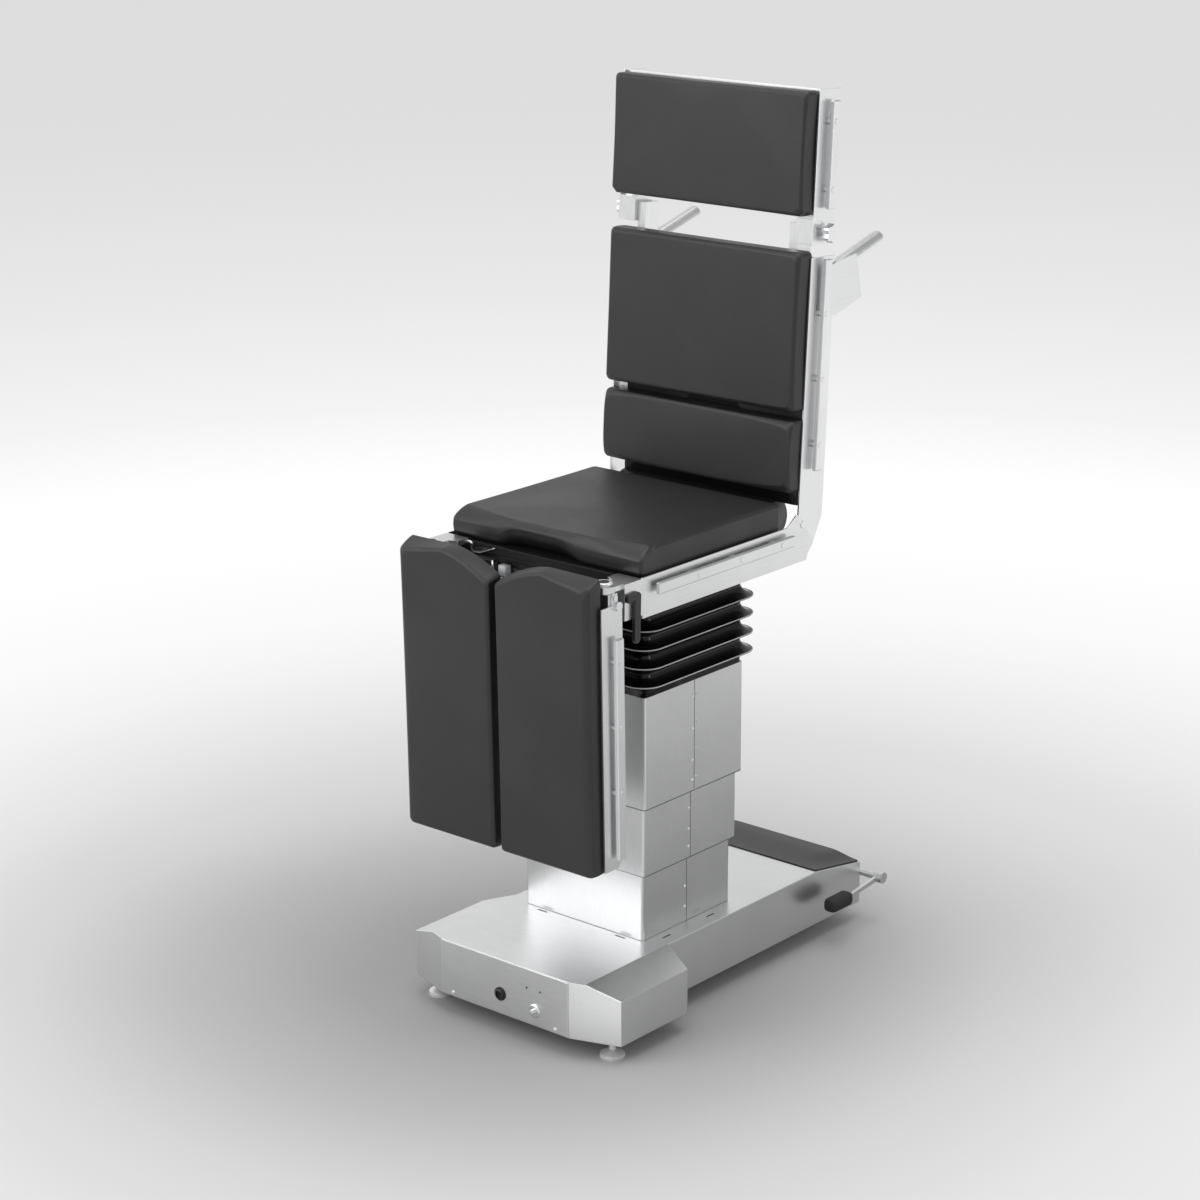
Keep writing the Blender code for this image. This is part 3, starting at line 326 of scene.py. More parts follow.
# %% Finishes of the frame's own solids
SLOT_FINISH = {
    "brushed_steel_sheet": STEEL_UP,
    "painted_frame": COATED,
    "dark_cover": REAR_PLASTIC,
    "black_bellows": BELLOWS_CLOTH,
    "black_plastic": BLACK_PLASTIC,
    "rubber": RUBBER,
    "caster_tread": TYRE,
    "cushion": PAD_SKIN,
    "bright_steel": POLISHED,
}
OWN_FINISH = {
    "base_cover": STEEL_BASE,
    "foot": SCREW_STEEL,
    "front_panel": STEEL_BASE,
    # Painted shade: the seat board is black to stand for the shade under the seat.
    "seat_board": BLACK_PLASTIC,
    "column_cover": STEEL_COLUMN,
    "seat_side_plate": STEEL_ALONG,
    "seat_rail": STEEL_ALONG,
    "push_handle": STEEL_ALONG,
    "leg_socket": STEEL_ALONG,
}
THIN_EDGE = 0.0005
EDGE_WIDTH = {"base_cover": 0.0022, "front_panel": 0.0006, "column_cover": 0.0012, "foot": 0.0010}
PLAIN_EDGES = ("caster_wheel", "bellows", "pad_", "_pad", "head_knob", "lift_")
SAME_POINT = 0.00001


def starts(name, table, default):
    """Value of the first key that the name starts with."""
    return next((value for key, value in table.items() if name.startswith(key)), default)


def light_edges(node, width):
    weld = node.modifiers.new("joined triangles", "WELD")
    weld.merge_threshold = SAME_POINT
    bevel = node.modifiers.new("lit edges", "BEVEL")
    bevel.width = width
    bevel.segments = 2
    bevel.limit_method = "ANGLE"
    bevel.angle_limit = math.radians(40)
    bevel.harden_normals = True
    bevel.use_clamp_overlap = True
    even = node.modifiers.new("even faces", "WEIGHTED_NORMAL")
    even.weight = 100
    even.keep_sharp = True


for name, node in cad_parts.items():
    slot_name = node.data.materials[0].name.split(".")[0]
    finish = starts(name, OWN_FINISH, SLOT_FINISH[slot_name])
    for slot in node.material_slots:
        slot.link = "OBJECT"
        slot.material = finish
    if not any(word in name for word in PLAIN_EDGES):
        light_edges(node, starts(name, EDGE_WIDTH, THIN_EDGE))
print("solids with a finish", len(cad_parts))

# %% [markdown]
# Every new piece is a grid of points: one direction runs round the piece, the other goes from
# ring to ring. One function turns such a grid into points and faces. Its ends are closed by fans
# round a middle point, or its last ring is joined to its first.

# %% From a grid of rings to a mesh
def ring_block(rings, cap_low=True, cap_high=True, loop=False):
    """Points and faces of one surface; rings has the shape (rows, points, 3).

    Points run anticlockwise seen from the last row. Quads join each ring to the next. A cap
    closes an end with a fan round its middle, and loop joins the last ring to the first."""
    rows, count = rings.shape[:2]
    index = np.arange(rows * count).reshape(rows, count)
    upper = np.roll(index, -1, 0) if loop else index[1:]
    lower = index if loop else index[:-1]
    quads = np.stack([lower, np.roll(lower, -1, 1), np.roll(upper, -1, 1), upper], -1)
    points = [rings.reshape(-1, 3)]
    faces = [quads.reshape(-1, 4)]
    for on, ring, turn in ((cap_low, 0, -1), (cap_high, rows - 1, 1)):
        if on and not loop:
            middle = np.full(count, sum(len(p) for p in points))
            points.append(rings[ring].mean(axis=0)[None])
            fan = np.stack([index[ring], np.roll(index[ring], -1), middle], -1)
            faces.append(fan[:, ::turn])
    return np.concatenate(points), faces


def block_mesh(name, blocks, finish):
    """One object from blocks of points and faces, at the origin."""
    before = np.cumsum([0] + [len(points) for points, _ in blocks])
    faces = [row + start for (_, sets), start in zip(blocks, before) for row in sets]
    mesh = bpy.data.meshes.new(name)
    everything = np.concatenate([points for points, _ in blocks])
    mesh.from_pydata(everything.tolist(), [], sum((row.tolist() for row in faces), []))
    mesh.shade_smooth()
    mesh.materials.append(finish)
    made = bpy.data.objects.new(name, mesh)
    bpy.context.scene.collection.objects.link(made)
    return made


def ring_mesh(name, rings, finish, **ends):
    return block_mesh(name, [ring_block(rings, **ends)], finish)


def turned_about_x(points, angle, pivot):
    """Points turned round an X axis through the pivot."""
    turn = np.array(Matrix.Rotation(angle, 3, "X"))
    return points @ turn.T + np.array(pivot)


def carried(name, rings, finish, body, slot_name, **ends):
    """One ring surface as a piece that rides on a body."""
    made = ring_mesh(name, rings, finish, **ends)
    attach(made, body)


def many(name, ring_sets, finish, body):
    """Several closed ring surfaces as one piece that rides on a body."""
    made = block_mesh(name, [ring_block(rings) for rings in ring_sets], finish)
    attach(made, body)


def stacked(rows):
    """Rings from pairs of a flat outline and its height."""
    return np.stack([np.column_stack([flat, np.full(len(flat), z)]) for flat, z in rows])


print("ring_mesh is ready")

# %% [markdown]
# A moulded pad starts as its outline. The plain rectangle is walked round with the points
# crowded towards its corners; what lies outside a smaller rectangle is pulled to one radius,
# and that rounds the corners. The long sides are then drawn in a little between the corners,
# as foam does under a tight skin.

# %% Outline of a pad
def crowded(share):
    """0 to 1, with steps that grow shorter towards both ends."""
    return 0.45 * share + 0.55 * (0.5 - 0.5 * np.cos(np.pi * share))


def soft_rectangle(half_w, half_h, corner, count=360):
    """Clamp each point to the inner rectangle, then step out by the corner radius."""
    walk = np.linspace(0, 4, count, endpoint=False)
    side = np.floor(walk)
    run = side + crowded(walk - side)
    across = np.interp(run, range(5), [half_w, half_w, -half_w, -half_w, half_w])
    along = np.interp(run, range(5), [-half_h, half_h, half_h, -half_h, -half_h])
    plain = np.stack([across, along], 1)
    room = np.array([half_w - corner, half_h - corner])
    inner = np.clip(plain, -room, room)
    out = plain - inner
    return inner + corner * out / np.linalg.norm(out, axis=1, keepdims=True)


def drawn_in(outline, half_w, half_h, sides, ends=0.0):
    """Pull the sides in by a parabola that is zero at the corners."""
    x, y = outline.T
    keep_x = 1 - sides / half_w * (1 - (y / half_h) ** 2)
    keep_y = 1 - ends / half_h * (1 - (x / half_w) ** 2)
    return np.stack([x * keep_x, y * keep_y], 1)


def cut_corner(outline, normal, distance):
    """Press the points beyond a slanted line back onto it."""
    normal = np.array(normal) / np.linalg.norm(normal)
    beyond = np.maximum(outline @ normal - distance, 0)
    return outline - beyond[:, None] * normal


def smooth_step(value, low, high):
    share = np.clip((value - low) / (high - low), 0, 1)
    return share * share * (3 - 2 * share)


def outward(outline):
    """Unit direction away from the pad at each outline point."""
    ahead = np.roll(outline, -1, 0) - np.roll(outline, 1, 0)
    side = np.stack([ahead[:, 1], -ahead[:, 0]], 1)
    return side / np.linalg.norm(side, axis=1, keepdims=True)


print("outline points", len(soft_rectangle(1.0, 1.0, 0.1)))

# %% [markdown]
# The pad's section is carried round that outline: a small lower edge, up the side, and over a
# broad soft bevel. The crowned face is a grid that is stretched between the four sides of the
# last ring, so its quads stay even from rim to rim. Cloth simulation would blur the crisp
# bevels that these moulded pads have, so crown and drawn-in sides are worked out instead.

# %% Carry the section round the outline
EDGE_STEPS = 14
WALL_STEPS = 7
CROWN_POWER = 2.4


def mitred(outline):
    """The way out at each point when a box round the outline grows evenly on its four sides."""
    low, high = outline.min(axis=0), outline.max(axis=0)
    return (outline - (low + high) / 2) / ((high - low) / 2)


def pad_surface(outline, thick, lower, upper, crown, belly=0.0008, soft=1.35):
    """Edge rings and face grid of one pad as (x, y, height).

    lower and upper are (reach, rise) of the two edges, each a number or one value per point.
    A reach may also be one (x, y) pair per point. An edge is a quarter turn whose sine and
    cosine are raised to a power: 1 is a round, 2 is a straight bevel. The crown is a product
    of two curves 1 - |t| ** 2.4, which are flat in the middle and fall off at the edges."""
    away = mitred(outline)
    angle = np.pi / 4 * (1 - np.cos(np.linspace(0, np.pi, EDGE_STEPS)))[:, None]
    low_way, up_way = (np.reshape(v, (-1, 1)) * away if np.ndim(v) < 2 else v * away
                       for v in (lower[0], upper[0]))
    rise_low, rise_up = (np.broadcast_to(v[1], len(outline)) for v in (lower, upper))
    low_in = (1 - np.sin(angle) ** soft)[..., None] * low_way
    low_z = rise_low * (1 - np.cos(angle) ** soft)
    wall = np.linspace(0, 1, WALL_STEPS)[1:-1, None]
    wall_z = rise_low + wall * (thick - rise_up - rise_low)
    wall_in = -belly * np.sin(wall * np.pi)[..., None] * away
    inset = np.concatenate([low_in, wall_in, (1 - np.cos(angle) ** soft)[..., None] * up_way])
    height = np.concatenate([low_z, wall_z, thick - rise_up * (1 - np.sin(angle) ** soft)])
    edge = np.concatenate([outline - inset, height[..., None]], -1)
    side = len(outline) // 4
    k = np.arange(side + 1)
    right, top, left, bottom = (edge[-1][np.mod(v, len(outline))]
                                for v in (k, 2 * side - k, 3 * side - k, 3 * side + k))
    v = crowded(k / side)[:, None, None]
    u = crowded(k / side)[None, :, None]
    flat = (1 - v) * bottom[None] + v * top[None] + (1 - u) * left[:, None] + u * right[:, None]
    low_corners = (1 - v) * ((1 - u) * bottom[0] + u * bottom[-1])
    flat = flat - low_corners - v * ((1 - u) * top[0] + u * top[-1])
    dome = (1 - np.abs(2 * u - 1) ** CROWN_POWER) * (1 - np.abs(2 * v - 1) ** CROWN_POWER)
    flat[..., 2] += crown * dome[..., 0]
    return edge, flat


def pad_mesh(name, edge, face, finish, mirrored=False):
    """The edge rings with a flat fan behind and the face grid sewn to the last ring."""
    points, faces = ring_block(edge, cap_high=False)
    rows, count = edge.shape[:2]
    side = count // 4
    last = (rows - 1) * count
    k = np.arange(side + 1)
    grid = np.zeros((side + 1, side + 1), int)
    grid[1:-1, 1:-1] = len(points) + np.arange((side - 1) ** 2).reshape(side - 1, side - 1)
    grid[:, side], grid[side] = last + k, last + 2 * side - k
    grid[:, 0], grid[0] = last + 3 * side - k, last + np.mod(3 * side + k, count)
    quads = np.stack([grid[:-1, :-1], grid[:-1, 1:], grid[1:, 1:], grid[1:, :-1]], -1)
    everything = np.concatenate([points, face[1:-1, 1:-1].reshape(-1, 3)])
    faces = [row[:, ::-1] if mirrored else row for row in faces + [quads.reshape(-1, 4)]]
    return block_mesh(name, [(everything, faces)], finish)


def wide_at_corners(outline, narrow, wide):
    """Bevel width per point: narrow in the middle of a side and wide near its corners."""
    x, y = np.abs(outline / np.abs(outline).max(axis=0)).T
    return narrow + (wide - narrow) * np.minimum(x, y) ** 3


print("pads have a grid face")

# %% [markdown]
# The back and head pads lie against boards that lean back a little. Their rings are made in
# the board's own flat frame, then turned with it about the back hinge.

# %% Back and head pads
PAD_HALF = 0.2675
BACK_PIVOT = (0.0, 0.18486, 1.060)
RECLINE = -math.radians(3.3)
BOARD_FACE = -0.002
BACK_THICK = 0.0492
CROWN = 0.0022
LOW_EDGE = (0.003, 0.003)


def lay_on_board(points, face, angle, pivot):
    """Pad height becomes the way forward from a board face, and y becomes up."""
    x, up, height = np.moveaxis(points, -1, 0)
    return turned_about_x(np.stack([x, face - height, up], -1), angle, pivot)


def as_cushion(made, body, node):
    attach(made, body)
    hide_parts(node)


def back_pad(name, node, low, high, corner, sides, reach, bottom_cut=0.0):
    half_h = (high - low) / 2
    shape = soft_rectangle(PAD_HALF, half_h, corner)
    shape = drawn_in(shape, PAD_HALF, half_h, sides, sides * 0.35)
    if bottom_cut:
        cut_at = (PAD_HALF + half_h) / math.sqrt(2) - bottom_cut * math.sqrt(0.5)
        shape = cut_corner(cut_corner(shape, (1, -1), cut_at), (-1, -1), cut_at)
    bevel = wide_at_corners(shape, *reach)
    parts = pad_surface(shape, BACK_THICK, LOW_EDGE, (bevel, 0.9 * bevel), CROWN)
    middle = np.array([0, (low + high) / 2, 0])
    edge, face = (lay_on_board(p + middle, BOARD_FACE, RECLINE, BACK_PIVOT) for p in parts)
    body = "head" if node == "head_pad" else "back"
    as_cushion(pad_mesh(name, edge, face, PAD_SKIN), body, node)


back_pad("back_cushion_lower", "back_pad_lower", 0.074, 0.234, 0.010, 0.0012, (0.005, 0.017))
back_pad("back_cushion_upper", "back_pad_upper", 0.253, 0.603, 0.012, 0.0022, (0.009, 0.012))
back_pad("head_cushion", "head_pad", 0.680, 0.946, 0.010, 0.0034, (0.007, 0.010), 0.012)
print("pads on the back and head", 3)

# %% [markdown]
# The boards behind these pads are black where they show between two pads: painted shade in the
# gaps. A thin black facing lies on each board, just in front of the steel.

# %% Black board facings
def board_facing(name, body, low, high, left, right):
    shape = soft_rectangle((right - left) / 2, (high - low) / 2, 0.004, 80)
    shape = shape + np.array([(left + right) / 2, (low + high) / 2])
    rings = stacked([(shape, -0.0002), (shape, 0.0006)])
    rings = lay_on_board(rings, BOARD_FACE, RECLINE, BACK_PIVOT)
    carried(name, rings, BLACK_PLASTIC, body, "black_plastic")


board_facing("back_board_facing", "back", 0.040, 0.599, -0.236, 0.264)
board_facing("head_board_facing", "head", 0.686, 0.940, -0.262, 0.262)
print("facings", 2)

# %% [markdown]
# The front of the seat pad has a bevel above and an undercut below, with a rim between them. The
# bevel grows wide towards both corners. In the middle the rim rises in a low arch, and the
# face below the arch slopes back steeply. Along the sides the rim falls only near the front.

# %% Seat pad
SHIFT = -0.0871404
SEAT_FRONT = -0.277 + SHIFT
SEAT_REAR = 0.201 + SHIFT
SEAT_BOTTOM = 1.0583
SEAT_THICK = 0.0630
SEAT_EDGE = 0.009
ARCH_HALF = 0.098
ARCH_MIDDLE = -0.018
CORNER_FROM, CORNER_TO = 0.12, 0.255
FALL_LENGTH = 0.040


def seat_pad():
    half_h = (SEAT_REAR - SEAT_FRONT) / 2
    middle_y = (SEAT_REAR + SEAT_FRONT) / 2
    shape = soft_rectangle(PAD_HALF, half_h, 0.009, 480)
    x, y = shape.T
    arch = np.exp(-((x - ARCH_MIDDLE) / ARCH_HALF) ** 6)
    corner = smooth_step(np.abs(x), CORNER_FROM, CORNER_TO)
    fall = np.clip(1 - (y + half_h) / FALL_LENGTH, 0, 1)
    shape = np.stack([x * (1 - 0.008 * (1 - (y / half_h) ** 2)), y - 0.005 * fall * arch], 1)
    deep = np.where(y < 0, 0.015 + 0.025 * corner + 0.003 * arch, SEAT_EDGE)
    under = np.where(y < 0, 0.011 + 0.034 * arch, 0.003)
    upper_reach = np.stack([np.full(len(x), SEAT_EDGE), deep], 1)
    lower_reach = np.stack([np.full(len(x), 0.003), under], 1)
    upper = (upper_reach, 0.008 + fall * (0.019 - 0.016 * arch))
    lower = (lower_reach, 0.003 + fall * (0.010 + 0.033 * arch))
    parts = pad_surface(shape, SEAT_THICK, lower, upper, 0.0020, soft=1.45)
    edge, face = (p + np.array([0, middle_y, SEAT_BOTTOM]) for p in parts)
    as_cushion(pad_mesh("seat_cushion", edge, face, PAD_SKIN), "seat", "seat_pad")


seat_pad()
print("seat pad box", SEAT_FRONT, SEAT_REAR)

# %% [markdown]
# Each leg pad hangs down in front of its steel frame. Its top edge is level on the outer half
# and falls in a curve towards the gap between the legs. A slanted facet cuts the front of that
# top edge and grows wider towards the outer corner.

# %% Leg pads
LEG_PIVOT = (0.0, -0.45914, 1.042)
LEG_TUCK = math.radians(1.0)
LEG_FACE = -0.032
LEG_THICK = 0.0452
LEG_TOP = 0.048
LEG_END = -0.604
LEG_INNER = 0.008
TOP_FALL = 0.042
TOP_BEND = 0.138
FACET_DROP = 0.022
INNER_FACET = 0.45
FALL_FROM = 0.12
FACET_FROM, FACET_RUN = 0.110, 0.075


def leg_pad(side, sign):
    half_w = (PAD_HALF - LEG_INNER) / 2
    half_h = (LEG_TOP - LEG_END) / 2
    shape = soft_rectangle(half_w, half_h, 0.009, 440)
    shape = drawn_in(shape, half_w, half_h, 0.0012)
    shape = shape + np.array([LEG_INNER + half_w, (LEG_TOP + LEG_END) / 2])
    x, y = shape.T
    inner_run = np.clip((TOP_BEND - x) / (TOP_BEND - LEG_INNER), 0, 1)
    near_top = np.clip((y - LEG_TOP + FALL_FROM) / FALL_FROM, 0, 1)
    shape = np.stack([x, y - TOP_FALL * inner_run ** 1.7 * near_top], 1)
    outer_side = np.clip((x - (PAD_HALF - 0.014)) / 0.010, 0, 1)
    upper = (0.008 + 0.006 * outer_side, 0.007 + 0.004 * outer_side)
    placed = []
    for part in pad_surface(shape, LEG_THICK, LOW_EDGE, upper, CROWN):
        x, y, height = np.moveaxis(part, -1, 0)
        outer = np.clip((x - TOP_BEND) / (PAD_HALF - TOP_BEND), 0, 1)
        inner = INNER_FACET * np.clip((TOP_BEND - x) / (TOP_BEND - LEG_INNER), 0, 1) ** 0.7
        near = np.clip((y - LEG_TOP + FACET_FROM) / FACET_RUN, 0, 1)
        drop = FACET_DROP * (outer + inner) * near * np.clip(height / LEG_THICK, 0, 1)
        mirrored = np.stack([sign * x, y - drop, height], -1)
        placed.append(lay_on_board(mirrored, LEG_FACE, LEG_TUCK, LEG_PIVOT))
    made = pad_mesh("leg_cushion_" + side, *placed, PAD_SKIN, mirrored=sign < 0)
    as_cushion(made, "leg section " + side, "leg_pad_" + side)


for side, sign in (("left", -1), ("right", 1)):
    leg_pad(side, sign)
print("leg pads", 2)

# %% [markdown]
# The bellows hide the tilt joints. A fold slopes out to a thin lip and slopes back in, and a
# pale strip on the lip is a painted highlight. The lower skirt bends between the column and the
# crosshead, and the upper one between the crosshead and the seat.

# %% Bellows
BASE_HALF = (0.191, 0.1715)
FOLD_H = 0.0423
FOLD_OUT = 0.0292
WALL = 0.0022
FLUSH = 0.001
LIP_AT = 0.40
FOLD_AT = np.array([0.0, 0.10, 0.20, 0.28, 0.33, 0.345, 0.355, 0.40,
                    0.415, 0.425, 0.44, 0.47, 0.52, 0.60, 0.72, 0.86])
FOLD_REACH = np.array([0.0, 0.24, 0.50, 0.74, 0.93, 0.975, 1.0, 1.0,
                       0.985, 0.95, 0.88, 0.72, 0.54, 0.34, 0.15, 0.03])
# Section of the pale strip on each lip, a painted highlight.
LIP_HIGHLIGHT_SECTION = ((FOLD_OUT - 0.0004, -0.0008), (FOLD_OUT + 0.0009, -0.0005),
                (FOLD_OUT + 0.0009, 0.0011), (FOLD_OUT - 0.0014, 0.0016))


def fold_rows(low, high, first, folds):
    """Heights and how far out each ring stands: a slope out, an upright lip, a hollow way back."""
    z = first + (np.arange(folds)[:, None] + FOLD_AT[None]).ravel() * FOLD_H
    out = FLUSH + (FOLD_OUT - FLUSH) * np.tile(FOLD_REACH, folds)
    z = np.concatenate([[low], z, [first + folds * FOLD_H, high]])
    out = np.concatenate([[FLUSH], out, [FLUSH, FLUSH]])
    keep = np.concatenate([[True], np.diff(z) > SAME_POINT])
    return z[keep], out[keep]


def skirt(name, node, low, high, first, folds):
    """One bellows with its painted lip highlights, from the height low up to high."""
    z, out = fold_rows(low, high, first, folds)
    corner = soft_rectangle(BASE_HALF[0], BASE_HALF[1], 0.020, 240)
    away = outward(corner)
    outer = corner[None] + out[:, None, None] * away[None]
    inner = corner[None] + (out[::-1] - WALL)[:, None, None] * away[None]
    flat = np.concatenate([outer, inner])
    height = np.concatenate([z, z[::-1]])[:, None] * np.ones(len(corner))
    rings = np.concatenate([flat, height[..., None]], -1) + np.array([0, SHIFT, 0])
    made = ring_mesh(name, rings, BELLOWS_CLOTH, loop=True)
    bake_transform(made)
    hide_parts(node)
    # Pale strips on the lips: painted highlights.
    lip_highlights = []
    for fold in range(folds):
        level = first + (fold + LIP_AT) * FOLD_H
        rows = [(corner + reach * away, level + rise) for reach, rise in LIP_HIGHLIGHT_SECTION]
        lip_highlights.append(ring_block(stacked(rows) + np.array([0, SHIFT, 0]), loop=True))
    line = block_mesh(name + "_welts", lip_highlights, LIP_HIGHLIGHT_PAINT)
    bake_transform(line)


CROSS_Z = 0.8496
skirt("bellows_skirt_lower", "bellows_lower", 0.7523, CROSS_Z - 0.0004, 0.765, 2)
skirt("bellows_skirt_upper", "bellows_upper", CROSS_Z, 1.0394, CROSS_Z, 4)
print("folds", 6)

# %% [markdown]
# A shallow black tray hangs under the seat board, round the top of the bellows, and an apron in
# two halves hangs at its front. They close the view between the leg sections, and their black is
# painted shade: it stands for the shade under the seat.

# %% Tray and apron under the seat
TRAY_HALF = (0.258, 0.226)
TRAY_MIDDLE = -0.126
TRAY_WALL = 0.003
TRAY_LEVELS = (1.0065, 1.040)


def seat_tray():
    outer = soft_rectangle(*TRAY_HALF, 0.012, 160)
    inner = outer - TRAY_WALL * outward(outer)
    low, high = TRAY_LEVELS
    rings = stacked([(outer, low), (outer, high), (inner, high), (inner, low)])
    rings = rings + np.array([0, TRAY_MIDDLE, 0])
    carried("seat_under_tray", rings, BLACK_PLASTIC, "seat", "black_plastic", loop=True)


def bar(low, high, corner=0.0002):
    """Closed block between two corners, with a small round along its upright edges."""
    low, high = np.array(low), np.array(high)
    half = (high - low) / 2
    shape = soft_rectangle(half[0], half[1], min(corner, half[0] * 0.9, half[1] * 0.9), 24)
    levels = np.array([low[2], high[2]])
    return np.concatenate([
        np.broadcast_to(shape, (2,) + shape.shape) + (low + high)[:2] / 2,
        np.broadcast_to(levels[:, None, None], (2, len(shape), 1)),
    ], -1)


seat_tray()
APRON_FRONT = -0.3525
APRON_BACK = -0.3495
apron = [bar((left, APRON_FRONT, 0.940), (right, APRON_BACK, 1.012), 0.001)
         for left, right in ((-0.235, -0.030), (0.030, 0.200))]
many("seat_front_apron", apron, BLACK_PLASTIC, "seat")
print("tray half size", TRAY_HALF)

# %% [markdown]
# The gap between the seat and the back is closed by a black shroud round the hinge axle. It is
# round about that axle, so it turns in place.

# %% Hinge shroud
SHROUD_R = 0.046
SHROUD_EDGE = 0.002
SHROUD_X = (-0.235, 0.200)


def hinge_shroud():
    """A drum along X whose two ends are drawn in by a small bevel."""
    angle = np.linspace(0, 2 * np.pi, 48, endpoint=False)
    left, right = SHROUD_X
    ends = [(left, SHROUD_R - SHROUD_EDGE), (left + SHROUD_EDGE, SHROUD_R),
            (right - SHROUD_EDGE, SHROUD_R), (right, SHROUD_R - SHROUD_EDGE)]
    rings = np.stack([
        np.stack([np.full(len(angle), x), radius * np.cos(angle), radius * np.sin(angle)], -1)
        for x, radius in ends
    ]) + np.array(BACK_PIVOT)
    carried("back_hinge_shroud", rings, BLACK_PLASTIC, "back", "black_plastic")


hinge_shroud()
print("shroud radius", SHROUD_R)

# %% [markdown]
# The rear of the base has a dark moulded cover with a low, rounded hump. Its height over the
# sloping steel is a product of two smooth steps, one in from the sides and one from the front.

# %% Rear cover
COVER_HALF = 0.2195
COVER_FRONT = 0.3339
COVER_REAR = 0.5079
SLOPE = 0.029 / 0.178
SLOPE_FROM = 0.417 + SHIFT
DECK_Z = 0.1773
HUMP = 0.0128
THIN = 0.0030


def rear_cover():
    half_h = (COVER_REAR - COVER_FRONT) / 2
    shape = soft_rectangle(COVER_HALF, half_h, 0.006, 360)
    placed = []
    for part in pad_surface(shape, THIN, (0.0002, 0.0002), (0.0012, 0.0012), 0.0, 0.0):
        x, y, level = np.moveaxis(part + np.array([0, (COVER_REAR + COVER_FRONT) / 2, 0]), -1, 0)
        across = smooth_step(COVER_HALF - np.abs(x), 0.004, 0.080)
        back = smooth_step(y, COVER_FRONT + 0.004, COVER_REAR - 0.03)
        hump = (HUMP - THIN) * across * back * np.clip(level / THIN, 0, 1)
        base_z = DECK_Z - (y - SLOPE_FROM) * SLOPE
        placed.append(np.stack([x, y, base_z + level + hump], -1))
    made = pad_mesh("rear_cover_shell", *placed, REAR_PLASTIC)
    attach(made, "base")
    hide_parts("rear_cover")


rear_cover()
print("rear cover", COVER_FRONT, COVER_REAR)

# %% [markdown]
# Small fixings tell the eye how the steel is put together. The sleeves of the column are bent
# from two sheets each; they meet in a fine joint line down the middle of each side, held by a
# row of low screws. A screw head is a domed profile spun round its axis. Under the two upper
# sleeves a narrow grey wiper closes the gap to the sleeve inside; its dark tone is partly its own
# and partly a painted shadow line under the sleeve's edge.

# %% Screws and joint lines on the column
def spun(profile, axis, place, count=20):
    """Profile rows (height, radius) carried round an axis.

    The axis points right or left along X, to the front along Y, or up along Z."""
    height, radius = np.array(profile).T
    angle = np.linspace(0, 2 * np.pi, count, endpoint=False)
    wide = radius[:, None] * np.cos(angle)
    deep = radius[:, None] * np.sin(angle)
    up = np.broadcast_to(height[:, None], wide.shape)
    order = {"+X": (up, wide, deep), "-X": (-up, -wide, deep), "-Y": (wide, -up, deep),
             "+Z": (wide, deep, up)}[axis]
    return np.stack(order, -1) + np.array(place)


def button(radius, rise):
    """Low domed head."""
    return [(-0.0004, radius), (0.0, radius), (rise * 0.45, radius * 0.95),
            (rise * 0.8, radius * 0.75), (rise * 0.97, radius * 0.45), (rise, radius * 0.20),
            (rise, radius * 0.05)]


SLEEVES = {
    "lower": ("base", 0.171, 0.1775, 0.333, (0.214, 0.262)),
    "middle": ("middle column", 0.181, 0.335, 0.494, (0.360, 0.402, 0.452)),
    "upper": ("upper column", 0.191, 0.498, 0.751, (0.520, 0.566, 0.640, 0.715)),
}
LINE_HALF = 0.0007
LINE_SUNK = 0.0002
LINE_PROUD = 0.00025
BESIDE_LINE = 0.006
for level, (body, half_x, low, high, at) in SLEEVES.items():
    strips = []
    for sign in (-1, 1):
        near, far = sorted((sign * (half_x - LINE_SUNK), sign * (half_x + LINE_PROUD)))
        strips.append(bar((near, SHIFT - LINE_HALF, low), (far, SHIFT + LINE_HALF, high)))
    many("column_joint_line_" + level, strips, DARK_GAP, body)
    heads = [
        spun(button(0.0036, 0.0020), axis, (sign * half_x, SHIFT - BESIDE_LINE, z))
        for z in at for axis, sign in (("+X", 1), ("-X", -1))
    ]
    many("column_screws_" + level, heads, SCREW_STEEL, body)
# Wiper rings whose grey is partly a painted shadow line under each upper sleeve.
WIPER_SHADOW_LINES = {
    "upper": ("upper column", 0.1915, 0.1717, 0.4950),
    "middle": ("middle column", 0.1811, 0.1612, 0.3340),
}
WIPER_BELOW = 0.0016
WIPER_ABOVE = 0.0005
WIPER_WIDE = 0.0070
for level, (body, half_x, half_y, z) in WIPER_SHADOW_LINES.items():
    outer = soft_rectangle(half_x, half_y, 0.006, 120)
    inner = outer - WIPER_WIDE * outward(outer)
    low, high = z - WIPER_BELOW, z + WIPER_ABOVE
    rings = stacked([(outer, low), (outer, high), (inner, high), (inner, low)])
    rings = rings + np.array([0, SHIFT, 0])
    # The dark grey rubber here is partly a painted shadow line.
    carried("column_wiper_" + level, rings, TYRE, body, "rubber", loop=True)
print("sleeves with joint lines", len(SLEEVES))

# %% [markdown]
# Small parts: the bent steel edge under the seat's left front corner, a cream stop block and a
# steel tab on each half of the apron, a ring round the hole in each leg socket, and the holes
# and screws of the front panel.

# %% Small parts at the seat front and on the panel
def ribbon(points, low, high, thick):
    """Closed bent strip: a line of (x, z) points with a thickness, from y low to y high."""
    line = np.array(points)
    ahead = np.gradient(line, axis=0)
    side = np.stack([-ahead[:, 1], ahead[:, 0]], 1)
    side = side / np.linalg.norm(ahead, axis=1, keepdims=True)
    loop = np.concatenate([line + side * thick / 2, (line - side * thick / 2)[::-1]])
    return stacked([(loop, high), (loop, low)])[..., [0, 2, 1]]


